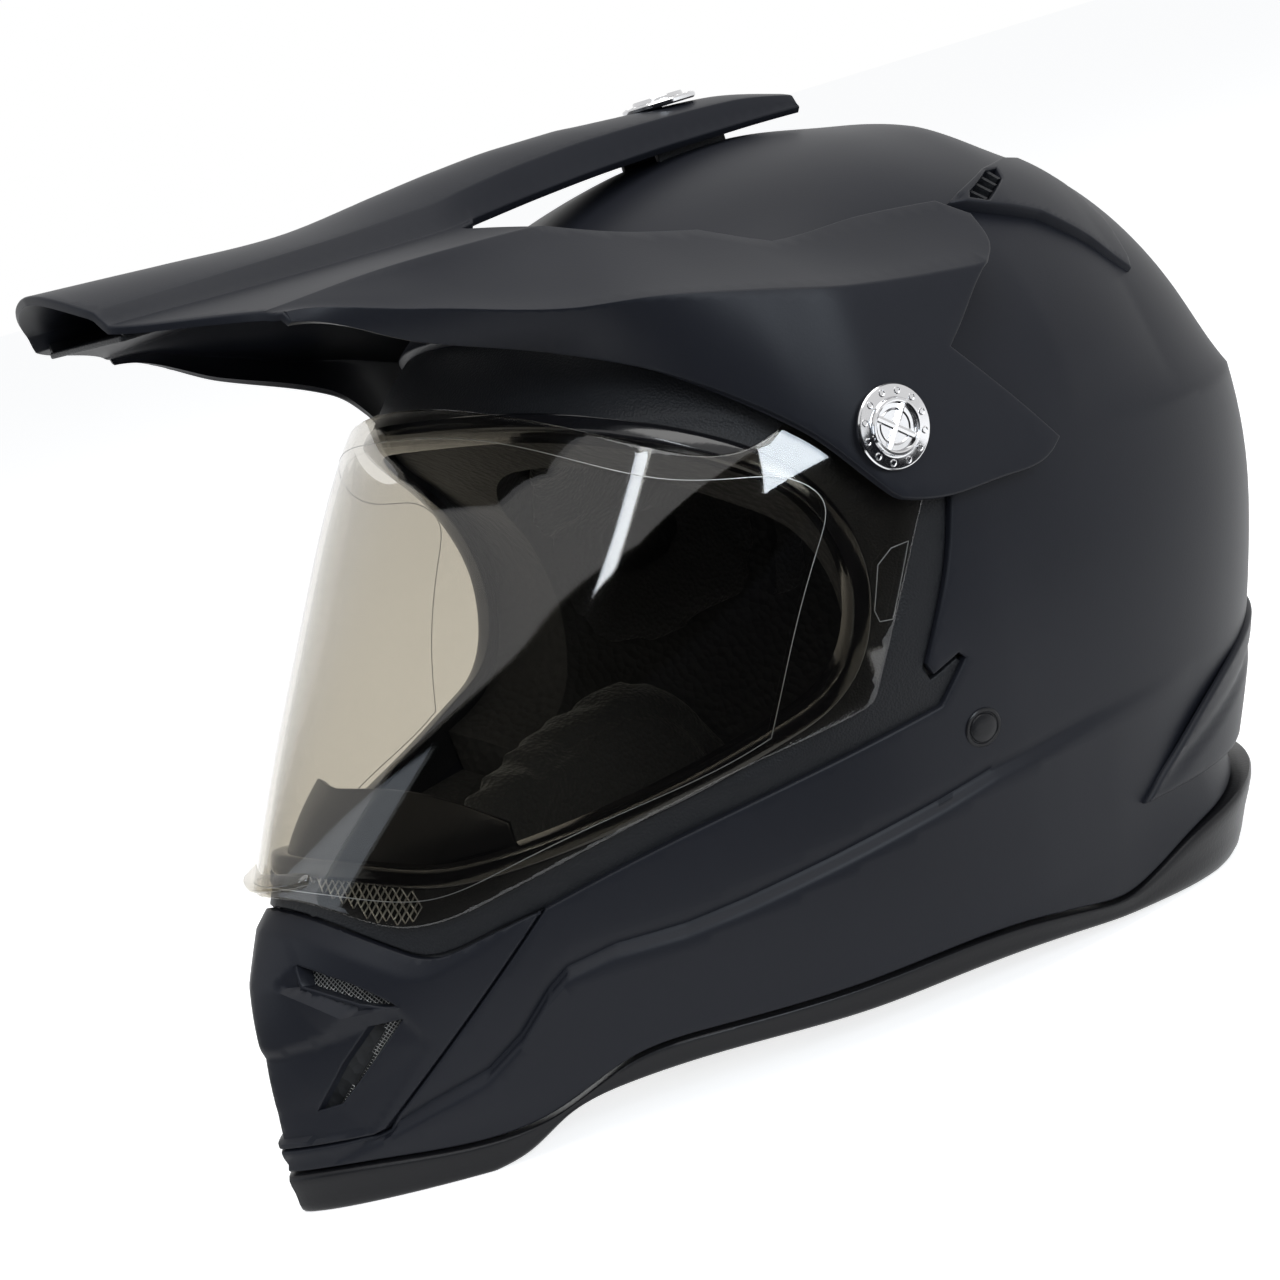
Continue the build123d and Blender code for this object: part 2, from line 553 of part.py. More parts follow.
strap_end = STRAP_SHARES[-1][1] * CROWN_HEIGHT
with BuildPart() as strap_buckle:
    with BuildSketch(Plane.YZ.offset(-BUCKLE_HALF)) as case:
        with Locations(((STRAP_FRONT + STRAP_BACK) / 2, (BUCKLE_LOW + BUCKLE_HIGH) / 2)):
            RectangleRounded(
                STRAP_BACK - STRAP_FRONT + 2 * BUCKLE_SIDE,
                BUCKLE_HIGH - BUCKLE_LOW,
                BUCKLE_ROUND,
            )
        with Locations(((STRAP_FRONT + STRAP_BACK) / 2, strap_end + STRAP_THICK / 2)):
            Rectangle(
                STRAP_BACK - STRAP_FRONT + 2 * TOUCH,
                STRAP_THICK + 2 * TOUCH,
                mode=Mode.SUBTRACT,
            )
    extrude(amount=2 * BUCKLE_HALF)
save(strap_buckle.part, "strap_buckle")

# Bracket on the crown with the slot for the peak's top screw.
bracket_low = BRACKET_TOP - BRACKET_LEG
with BuildPart() as peak_bracket:
    with BuildSketch(Plane.XZ.offset(-BRACKET_FRONT)) as bridge:
        with BuildLine():
            Polyline(
                (-BRACKET_HALF, bracket_low),
                (-BRACKET_HALF, BRACKET_TOP),
                (BRACKET_HALF, BRACKET_TOP),
                (BRACKET_HALF, bracket_low),
                (BRACKET_HALF - BRACKET_PLATE, bracket_low),
                (BRACKET_HALF - BRACKET_PLATE, BRACKET_TOP - BRACKET_PLATE),
                (BRACKET_PLATE - BRACKET_HALF, BRACKET_TOP - BRACKET_PLATE),
                (BRACKET_PLATE - BRACKET_HALF, bracket_low),
                close=True,
            )
        make_face()
    extrude(amount=BRACKET_FRONT - BRACKET_BACK)
    add(skin(-TOUCH), clean=False, mode=Mode.SUBTRACT)
    with BuildSketch(Plane.XY.offset(bracket_low)) as slot:
        with Locations((0, TOP_SCREW_BACK)):
            SlotOverall(TOP_SLOT_LENGTH, 2 * TOP_SHANK_RADIUS + GAP, rotation=90)
    extrude(amount=BRACKET_TOP, mode=Mode.SUBTRACT)
save(peak_bracket.part, "peak_bracket")

# Pivot hubs: a root through the frame, a bearing for the visor, a neck for the peak.
for name, hand in HANDS:
    with BuildPart() as pivot_hub:
        add(pivot_rod(hand, HUB_ROOT, HUB_RADIUS, HUB_NECK))
        add(pivot_rod(hand, HUB_NECK, NECK_RADIUS, WING_FACE + TOUCH))
        add(pivot_rod(hand, WING_FACE - SHANK_LENGTH, SHANK_RADIUS, SPAN), clean=False, mode=Mode.SUBTRACT)
    save(pivot_hub.part, "pivot_hub_" + name)
    # Side screw: flat rim with a ring, a recess and a cross in it.
    with BuildPart() as side_screw:
        face = WING_FACE + 2 * TOUCH
        add(pivot_rod(hand, face, SCREW_HEAD_RADIUS, face + SCREW_HEAD))
        add(pivot_rod(hand, face + SCREW_HEAD, SCREW_RIM_RADIUS, face + SCREW_HEAD + SCREW_RIM))
        add(pivot_rod(hand, face + SCREW_HEAD, SCREW_RIM_RADIUS - SCREW_RIM, SPAN),
            clean=False, mode=Mode.SUBTRACT)
        with BuildSketch(pivot_plane(hand, face + SCREW_HEAD)) as cross:
            for turn in (45, 135):
                Rectangle(2 * (SCREW_RIM_RADIUS - CROSS_LAP), CROSS_WIDTH, rotation=turn)
        extrude(amount=CROSS_HEIGHT)
        add(pivot_rod(hand, WING_FACE + TOUCH - SHANK_LENGTH, SHANK_RADIUS - TOUCH, face))
    save(side_screw.part, "side_screw_" + name)

# Clear visor, a shield turning on the two hubs, with its lift tab.
visor_wall = layer(-VISOR_LIFT - VISOR_WALL, VISOR_WALL)
with BuildPart() as visor:
    add(visor_wall)
    add(side_block(side(VISOR_SHARES)), clean=False, mode=Mode.INTERSECT)
    for name, hand in HANDS:
        add(pivot_rod(hand, 0, HUB_RADIUS + RUNNING, SPAN), clean=False, mode=Mode.SUBTRACT)
save(visor.part, "visor")

with BuildPart() as visor_tab:
    add(side_block(side(TAB_SHARES), near=-TAB_HALF, far=TAB_HALF))
    add(skin(-VISOR_LIFT - VISOR_WALL - TOUCH), clean=False, mode=Mode.SUBTRACT)
save(visor_tab.part, "visor_tab")

def wall_points(row):
    """One station's closed outline: the skin's folds and the same folds a wall inside."""
    place, crown, *folds = row
    outer = [(0, crown * CROWN_HEIGHT)]
    outer += [(out * HALF_WIDTH, up * CROWN_HEIGHT) for out, up in folds]
    inner = []
    for i, (x, z) in enumerate(outer):
        before = Vector(x, z) - Vector(*outer[i - 1]) if i else Vector(1, 0)
        after = Vector(*outer[i + 1]) - Vector(x, z) if i < len(outer) - 1 else before
        first = before.normalized() if i else after.normalized()
        second = after.normalized()
        if not i:
            inner.append((0, z - PEAK_WALL / second.X))
            continue
        bisector = Vector(first.Y + second.Y, -first.X - second.X)
        shift = bisector * (PEAK_WALL / (1 + first.dot(second)))
        inner.append((x + shift.X, z + shift.Y))
    right = outer + inner[::-1]
    left = [(-x, z) for x, z in right[1:-1]]
    return right[: len(outer)] + right[len(outer):] + left[::-1]


with BuildPart() as peak:
    stations = []
    for row in PEAK_SHARES:
        with BuildSketch(Plane.XZ.offset(-row[0] * FRONT_REACH)) as station:
            with BuildLine():
                Polyline(*wall_points(row), close=True)
            make_face()
        stations.append(station.sketch)
    loft(sections=stations, ruled=True)
    add(plan_block(TIP_SHARES, 0, 2 * CROWN_HEIGHT), clean=False, mode=Mode.SUBTRACT)
    add(plan_block(NOTCH_SHARES, 0, 2 * CROWN_HEIGHT), clean=False, mode=Mode.SUBTRACT)
    add(side_block(side(WING_SHARES)), clean=False, mode=Mode.INTERSECT)
    for name, hand in HANDS:
        add(pivot_rod(hand, WING_FACE - WING_SEAT, SCREW_HEAD_RADIUS + SEAT_RIM, WING_FACE))
        add(pivot_rod(hand, WING_FACE, SCREW_HEAD_RADIUS + SEAT_PLAY, SPAN),
            clean=False, mode=Mode.SUBTRACT)
        add(pivot_rod(hand, 0, NECK_RADIUS + RUNNING, SPAN), clean=False, mode=Mode.SUBTRACT)
    add(rod(top_screw_base.offset(-WING_SEAT), SCREW_HEAD_RADIUS + SEAT_RIM, WING_SEAT))
    add(rod(top_screw_base, SCREW_HEAD_RADIUS + SEAT_PLAY, SPAN),
        clean=False, mode=Mode.SUBTRACT)
    add(rod(top_screw_base.offset(-WING_SEAT), TOP_SHANK_RADIUS + TOUCH, SPAN),
        clean=False, mode=Mode.SUBTRACT)
save(peak.part, "peak")

# Lower panel of the peak's air duct.
with BuildPart() as peak_duct:
    with BuildSketch(Plane.XY.offset(DUCT_TOP - DUCT_PLATE)) as panel:
        with Locations((0, (DUCT_FRONT + DUCT_BACK) / 2)):
            Rectangle(2 * DUCT_HALF, DUCT_BACK - DUCT_FRONT)
    extrude(amount=DUCT_PLATE)
save(peak_duct.part, "peak_duct")

# Top screw through the centre arm, and its nut under the bracket's slot.
with BuildPart() as top_screw:
    add(rod(top_screw_base.offset(TOUCH), SCREW_HEAD_RADIUS, SCREW_HEAD))
    add(rod(top_screw_base.offset(SCREW_HEAD), SCREW_RIM_RADIUS, SCREW_RIM))
    add(rod(top_screw_base.offset(SCREW_HEAD), SCREW_RIM_RADIUS - SCREW_RIM, SCREW_RIM),
        clean=False, mode=Mode.SUBTRACT)
    with BuildSketch(top_screw_base.offset(SCREW_HEAD)) as top_cross:
        for turn in (45, 135):
            Rectangle(2 * (SCREW_RIM_RADIUS - CROSS_LAP), CROSS_WIDTH, rotation=turn)
    extrude(amount=CROSS_HEIGHT)
    add(rod(top_screw_base.offset(-TOP_SCREW_LENGTH), TOP_SHANK_RADIUS,
            TOP_SCREW_LENGTH + SCREW_HEAD))
save(top_screw.part, "top_screw")

with BuildPart() as top_nut:
    with BuildSketch(top_screw_base.offset(-TOP_SCREW_LENGTH)) as hexagon:
        RegularPolygon(NUT_RADIUS, 6)
        Circle(TOP_SHANK_RADIUS + TOUCH, mode=Mode.SUBTRACT)
    extrude(amount=NUT_HEIGHT)
save(top_nut.part, "top_nut")

# Vent shutter behind the lower mouth vents, and the lever that lifts it.
with BuildPart() as vent_shutter:
    add(layer(SHUTTER_INSET, SHUTTER_WALL))
    add(side_block(side(SHUTTER_SHARES)), clean=False, mode=Mode.INTERSECT)
save(vent_shutter.part, "vent_shutter")

with BuildPart() as shutter_lever:
    add(rod(Plane(origin=(0, LEVER_BACK, LEVER_HEIGHT), z_dir=(0, -1, 0)), LEVER_RADIUS,
            LEVER_LENGTH))
    add(skin(SHUTTER_INSET + SHUTTER_WALL + TOUCH), clean=False, mode=Mode.INTERSECT)
save(shutter_lever.part, "shutter_lever")
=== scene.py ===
# %% [markdown]
# # A dual sport helmet
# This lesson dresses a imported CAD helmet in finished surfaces: a lacquered shell with a
# chin bar, a clear visor that lifts, a long folded peak on three plated screws, rubber
# edges, silver grilles and a padded lining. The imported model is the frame: every piece
# made here rides one of its bodies, so that the joints still move what they should.

# %% Load the frame
import json
import math
import bpy
import numpy as np
from mathutils import Matrix, Vector, geometry


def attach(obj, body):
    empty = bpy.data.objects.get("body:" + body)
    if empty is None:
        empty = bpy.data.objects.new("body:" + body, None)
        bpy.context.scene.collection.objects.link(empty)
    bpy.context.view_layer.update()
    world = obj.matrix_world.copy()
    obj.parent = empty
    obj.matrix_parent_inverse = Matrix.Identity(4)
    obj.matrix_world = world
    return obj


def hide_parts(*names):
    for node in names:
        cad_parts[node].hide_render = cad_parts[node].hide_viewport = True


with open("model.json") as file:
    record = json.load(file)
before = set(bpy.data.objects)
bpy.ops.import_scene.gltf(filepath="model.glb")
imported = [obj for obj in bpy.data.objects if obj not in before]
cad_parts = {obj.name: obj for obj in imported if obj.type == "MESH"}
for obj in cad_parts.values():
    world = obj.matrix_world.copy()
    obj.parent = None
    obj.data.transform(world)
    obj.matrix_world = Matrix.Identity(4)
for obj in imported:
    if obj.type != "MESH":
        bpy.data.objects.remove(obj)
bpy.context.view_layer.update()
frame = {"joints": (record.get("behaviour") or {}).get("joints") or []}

# %% [markdown]
# ## Sizes
# Shapes are worked out in millimetres, with the line of the two side screws along X at
# back = 0, and moved to metres and to the frame's own origin when a mesh is made. The
# screws' height and the step from that line to the origin are read from the hinge.

# %% Main sizes
MM = 0.001
hinge = next(j for j in frame["joints"] if j["name"] == "visor_hinge")
PIVOT_BACK = hinge["pos_m"][1] / MM
PIVOT_HEIGHT = hinge["pos_m"][2] / MM
CROWN = 264.0
REACH = 187.0
HALF_WIDTH = 127.0
SHELL_WALL = 4.0
FRAME_INSET = 3.0
FRAME_WALL = 2.4
VISOR_OUT = 2.6
VISOR_WALL = 2.2
SEAM = 0.25
SIDES = (("left", 1), ("right", -1))
print("pivot", PIVOT_BACK, PIVOT_HEIGHT)

# %% [markdown]
# ## Curves
# A helmet is drawn as a stack of smooth plan outlines. A natural cubic spline passes through the few given values,
# and bends as little as it can between them. Bezier objects would do as well, but an array function can be asked for
# thousands of points at once.

# %% A smooth curve through points
def smooth_curve(places, values):
    """Natural cubic spline: in each span the value is a cubic whose second derivative
    runs straight between the bends found at the points, and is nought at both ends."""
    places, values = np.asarray(places, float), np.asarray(values, float)
    count, gap = len(places), np.diff(places)
    matrix, right = np.eye(count), np.zeros_like(values)
    i = np.arange(1, count - 1)
    matrix[i, i - 1], matrix[i, i], matrix[i, i + 1] = gap[:-1], 2 * (gap[:-1] + gap[1:]), gap[1:]
    slope = (np.diff(values, axis=0).T / gap).T
    right[1:-1] = 6 * np.diff(slope, axis=0)
    bend = np.linalg.solve(matrix, right)

    def at(where):
        where = np.asarray(where, float)
        k = np.clip(np.searchsorted(places, where) - 1, 0, count - 2)
        t, h = where - places[k], gap[k]
        if values.ndim > 1:
            t, h = t[..., None], h[..., None]
        start = slope[k] - h * (2 * bend[k] + bend[k + 1]) / 6
        return values[k] + start * t + bend[k] * t**2 / 2 + (bend[k + 1] - bend[k]) * t**3 / (6 * h)

    return at


def drawn(points, corners=(), step=1.6):
    """Points every step along a curve: a smooth curve by chord length through each run
    of points between two corners."""
    points = np.asarray(points, float)
    stops = [0, *corners, len(points) - 1]
    parts = []
    for a, b in zip(stops, stops[1:]):
        run = points[a : b + 1]
        along = np.concatenate([[0], np.cumsum(np.linalg.norm(np.diff(run, axis=0), axis=1))])
        spots = np.linspace(0, along[-1], max(2, int(np.ceil(along[-1] / step)) + 1))
        parts.append(smooth_curve(along, run)(spots) if len(run) > 2 else
                     run[0] + (run[1] - run[0]) * (spots / along[-1])[:, None])
    return np.vstack([p[:-1] for p in parts[:-1]] + [parts[-1]])


# %% [markdown]
# ## The skin
# Each level of the helmet is half a squared ellipse in front of its widest point and
# half of another behind it. One row holds a level's height, its foremost and rearmost
# places, its half width, where it is widest, and three powers: how blunt the chin is,
# how flat the cheeks are, and how square the back is. The rows are joined by splines
# over the climb, the angle whose sine is the height's share of the crown's, so the top
# closes round. A subdivided cage could give such a form too, but every seam, groove
# and inner wall of the helmet needs the same surface at another depth, and a function
# gives each depth exactly.

# %% The skin's levels and its surface
LEVELS = np.array([
    (0, -185, 142, 98, 35, 1.60, 1.30, 2.60),
    (30, -187, 157, 106, 32, 1.60, 1.30, 2.70),
    (60, -182, 171, 113, 30, 1.60, 1.40, 2.70),
    (90, -168, 181, 120, 28, 1.65, 1.50, 2.70),
    (120, -148, 188, 125, 28, 1.80, 1.70, 2.70),
    (150, -125, 191, 127, 30, 1.90, 1.90, 2.60),
    (180, -103, 187, 126, 34, 2.00, 2.00, 2.45),
    (205, -84, 173, 116, 38, 2.05, 2.05, 2.30),
    (225, -64, 152, 101, 41, 2.10, 2.10, 2.20),
    (242, -40, 127, 81, 43, 2.10, 2.10, 2.10),
    (254, -13, 101, 56, 44, 2.10, 2.10, 2.10),
    (261, 13, 76, 31, 45, 2.10, 2.10, 2.10),
    (263.5, 30, 60, 14, 45, 2.10, 2.10, 2.10),
    (264, 44.5, 45.5, 0.5, 45, 2.10, 2.10, 2.10),
])
level_at = smooth_curve(np.arcsin(LEVELS[:, 0] / CROWN), LEVELS[:, 1:])
QUARTER, HALF = np.pi / 2, np.pi


def drawn_in(size, out):
    """A half size moved out; moved far in, it shrinks to nothing and never turns over."""
    soft = np.maximum(-np.asarray(out, float), 1e-6) / 6
    ratio = (size + out) / soft
    return np.where(ratio > 30, size + out, soft * np.log1p(np.exp(np.minimum(ratio, 30))))


def by_turn(turn, climb, out=0.0):
    """The skin moved out, at a turn of 0 (front) to pi (back): the half width times the
    sine to the power 2 / cheek, and the reach times the cosine to the power 2 / blunt."""
    front, back, half, wide, blunt, cheek, tail = np.moveaxis(level_at(climb), -1, 0)
    ahead = turn < QUARTER
    reach = np.where(ahead, -drawn_in(wide - front, out), drawn_in(back - wide, out))
    share = np.abs(np.cos(turn)) ** (2 / np.where(ahead, blunt, tail))
    x = drawn_in(half, out) * np.abs(np.sin(turn)) ** (2 / np.where(ahead, cheek, tail))
    return np.stack(np.broadcast_arrays(x, wide + reach * share, (CROWN + out) * np.sin(climb)), -1)


CLIMBS, TURNS = np.linspace(0, QUARTER, 121), np.linspace(0, HALF, 481)
mesh_grid = by_turn(TURNS[None, :], CLIMBS[:, None])
run_length = np.concatenate(
    [np.zeros((len(CLIMBS), 1)), np.cumsum(np.linalg.norm(np.diff(mesh_grid, axis=1), axis=2), axis=1)], 1)
half_round = run_length[:, -1]
share_table = run_length / half_round[:, None]
even = np.linspace(0, 1, len(TURNS))
turn_table = np.stack([np.interp(even, row, TURNS) for row in share_table])
print("half way round at the floor", round(half_round[0]), "mm")


def looked_up(table, row, column):
    """The value between the four nearest entries, row and column running from 0 to 1."""
    r = np.clip(row, 0, 1) * (table.shape[0] - 1)
    c = np.clip(column, 0, 1) * (table.shape[1] - 1)
    i, j = np.minimum(r.astype(int), table.shape[0] - 2), np.minimum(c.astype(int), table.shape[1] - 2)
    r, c = r - i, c - j
    return ((1 - r) * ((1 - c) * table[i, j] + c * table[i, j + 1])
            + r * ((1 - c) * table[i + 1, j] + c * table[i + 1, j + 1]))


def skin(spots, out=0.0):
    """The skin at (share of the way round, climb), with the right side as its mirror."""
    share, climb = spots[..., 0], np.clip(spots[..., 1], 0, QUARTER)
    folded = 1 - np.abs(1 - np.abs(share))
    point = by_turn(looked_up(turn_table, climb / QUARTER, folded), climb, out)
    point[..., 0] *= np.where((share < 0) | (share > 1), -1, 1)
    return point


def skin_spots(side, out=0.0):
    """(share, climb) on the skin of side-view points (back, height)."""
    side = np.asarray(side, float)
    climb = np.arcsin(np.clip(side[..., 1] / (CROWN + out), 0, 1))
    front, back, half, wide, blunt, cheek, tail = np.moveaxis(level_at(climb), -1, 0)
    ahead = side[..., 0] < wide
    level = (side[..., 0] - wide) / np.where(ahead, -drawn_in(wide - front, out), drawn_in(back - wide, out))
    turn = np.arccos(np.clip(level, 0, 1) ** (np.where(ahead, blunt, tail) / 2))
    turn = np.where(ahead, turn, HALF - turn)
    return np.stack([looked_up(share_table, climb / QUARTER, turn / HALF), climb], -1), level


def skin_path(points, corners=(), out=0.0, step=1.6):
    """A side-view curve laid on the skin, ending exactly on the middle plane where it
    leaves the skin."""
    side = drawn(np.asarray(points, float) * (REACH, CROWN), corners, step)
    spots, level = skin_spots(side, out)
    keep = np.flatnonzero(level < 1)
    path = [spots[keep[0] : keep[-1] + 1]]
    for inner, outer, place in ((keep[0], keep[0] - 1, 0), (keep[-1], keep[-1] + 1, 2)):
        if 0 <= outer < len(side):
            t = (1 - level[inner]) / (level[outer] - level[inner])
            climb = spots[inner, 1] + t * (spots[outer, 1] - spots[inner, 1])
            end = np.array([[0.0 if side[inner, 0] < 0 else 1.0, climb]])
            path.insert(0 if place == 0 else len(path), end)
    return np.vstack(path)


def middle_line(share, first, last, step=3.0):
    """Spots up or down the middle plane, in front (share 0) or behind (share 1)."""
    count = max(2, int(abs(last - first) * CROWN / step) + 1)
    climb = np.linspace(first, last, count + 1)[1:-1]
    return np.stack([np.full_like(climb, share), climb], -1)


# %% [markdown]
# ## Panels
# Every hard piece of the helmet is a patch of a surface cut along drawn outlines, with
# a wall and rounded edges. Booleans on a dense mesh leave ragged rims, so the patch is
# made the other way round: the outline's own points are put down first, staggered rows
# of points fill what lies inside, and Blender's Delaunay routine joins them with
# triangles in a flat map of the surface. Then the outer and inner walls are lifted from
# the same triangles, and a few rows of points round the rim join them. Only the left
# half is worked out, and its mirror image shares the points of the middle plane.

# %% Triangles inside outlines
def inside(points, loops):
    """Even-odd rule: a point is inside where a ray along X crosses the outlines an odd
    number of times."""
    found = np.zeros(len(points), bool)
    for loop in loops:
        a, b = loop, np.roll(loop, -1, axis=0)
        for part in np.array_split(np.arange(len(points)), max(1, len(points) * len(loop) // 4000000)):
            p = points[part]
            span = (a[None, :, 1] > p[:, None, 1]) != (b[None, :, 1] > p[:, None, 1])
            rise = np.where(b[:, 1] == a[:, 1], 1e-9, b[:, 1] - a[:, 1])
            cross = a[None, :, 0] + (p[:, None, 1] - a[None, :, 1]) * ((b[:, 0] - a[:, 0]) / rise)[None, :]
            found[part] ^= (np.sum(span & (p[:, None, 0] < cross), axis=1) % 2).astype(bool)
    return found


def nearest(points, others):
    """Distance from each point to the nearest of the others."""
    result = np.empty(len(points))
    for part in np.array_split(np.arange(len(points)), max(1, len(points) * len(others) // 4000000)):
        gap = points[part][:, None, :] - others[None, :, :]
        result[part] = np.sqrt((gap**2).sum(-1).min(1))
    return result


def filled(loops, step, folds=None):
    """Flat points and triangles inside the loops: the loops' own points come first."""
    rim = np.vstack(loops)
    low, high = rim.min(0), rim.max(0)
    rows = np.arange(low[1], high[1], step * math.sqrt(3) / 2)
    columns = np.arange(low[0], high[0] + step, step)
    grid = np.stack(np.meshgrid(columns, rows), -1)
    grid[1::2, :, 0] += step / 2
    grid = grid.reshape(-1, 2)
    if folds is not None:
        folds = folds[inside(folds, loops)]
        folds = folds[nearest(folds, rim) > 0.45 * step]
        grid = grid[nearest(grid, folds) > 0.6 * step]
    grid = grid[inside(grid, loops)]
    grid = grid[nearest(grid, rim) > 0.6 * step]
    points = np.vstack([rim, grid] + ([] if folds is None else [folds]))
    edges, start = [], 0
    for loop in loops:
        ring = np.arange(start, start + len(loop))
        edges += list(zip(ring.tolist(), np.roll(ring, -1).tolist()))
        start += len(loop)
    out = geometry.delaunay_2d_cdt([Vector(p) for p in points.tolist()], edges, [], 0, 1e-7)
    origin = np.array([o[0] if o else -1 for o in out[3]])
    triangles = origin[np.array(out[2])]
    triangles = triangles[(triangles >= 0).all(1)]
    a, b, c = (points[triangles[:, k]] for k in range(3))
    triangles = triangles[inside((a + b + c) / 3, loops)]
    a, b, c = (points[triangles[:, k]] for k in range(3))
    area = np.cross(b - a, c - a)
    triangles[area < 0] = triangles[area < 0][:, ::-1]
    return points, triangles[np.abs(area) > 1e-9]


# %% Meshes from arrays
NUDGE = 0.004


def unit(vectors):
    """v / |v|"""
    return vectors / np.maximum(np.linalg.norm(vectors, axis=-1, keepdims=True), 1e-12)


def normal_of(surface, spots):
    """The normal: the cross product of small steps along the surface's two parameters."""
    return unit(np.cross(surface(spots + (NUDGE, 0)) - surface(spots - (NUDGE, 0)),
                         surface(spots + (0, NUDGE)) - surface(spots - (0, NUDGE))))


def ring_faces(rows, around, closed=False):
    """Quads between neighbouring rings of points, each ring closed on itself."""
    r, k = np.arange(rows if closed else rows - 1)[:, None], np.arange(around)[None, :]
    nr, nk = (r + 1) % rows, (k + 1) % around
    corners = np.broadcast_arrays(r * around + k, r * around + nk, nr * around + nk, nr * around + k)
    return np.stack(corners, -1).reshape(-1, 4)


def piece(name, points, faces, body, slot, material, replaces=None, smooth=40):
    """A mesh object from millimetre points round the pivot line, riding a body. It stands
    for the solid of its own name where replaces names no others."""
    mesh = bpy.data.meshes.new(name)
    place = (np.asarray(points, float) + (0, PIVOT_BACK, 0)) * MM
    mesh.from_pydata(place.tolist(), [], [list(map(int, f)) for f in faces])
    mesh.validate()
    mesh.shade_smooth()
    mesh.set_sharp_from_angle(angle=math.radians(smooth))
    thing = bpy.data.objects.new(name, mesh)
    bpy.context.scene.collection.objects.link(thing)
    mesh.materials.append(material)
    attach(thing, body)
    for_solids = (name,) if replaces is None else replaces
    if for_solids:
        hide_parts(*for_solids)
    return thing


def size_of(thing):
    """A piece's box in whole millimetres."""
    return [round(v * 1000) for v in thing.dimensions]


def mirrored(points, faces, middle):
    """The points and faces with their mirror image across the middle plane, where the
    points marked as middle are shared."""
    points = np.array(points, float)
    points[middle, 0] = 0.0
    other = np.arange(len(points))
    other[~middle] = len(points) + np.arange(np.count_nonzero(~middle))
    both = np.vstack([points, points[~middle] * (-1, 1, 1)])
    return both, list(faces) + [[other[i] for i in reversed(f)] for f in faces]


def on_both(name, points, faces, body, slot, material, smooth=40, stands=True):
    """The left piece and its mirror image, each standing for its own solid."""
    made = []
    for side, hand in SIDES:
        own = f"{name}_{side}"
        turned = faces if hand > 0 else [list(f)[::-1] for f in faces]
        made.append(piece(own, np.asarray(points) * (hand, 1, 1), turned, body, slot, material,
                          None if stands else (), smooth))
    return made


# %% [markdown]
# A panel's rim is rounded like a moulding's: its points are stepped inward along the
# surface and down into the wall on a quarter circle. The inward direction at a point is
# the mitre of the two edges that meet there, so that corners keep their width.

# %% A walled panel with rounded rims
ROUND_STEPS = 3


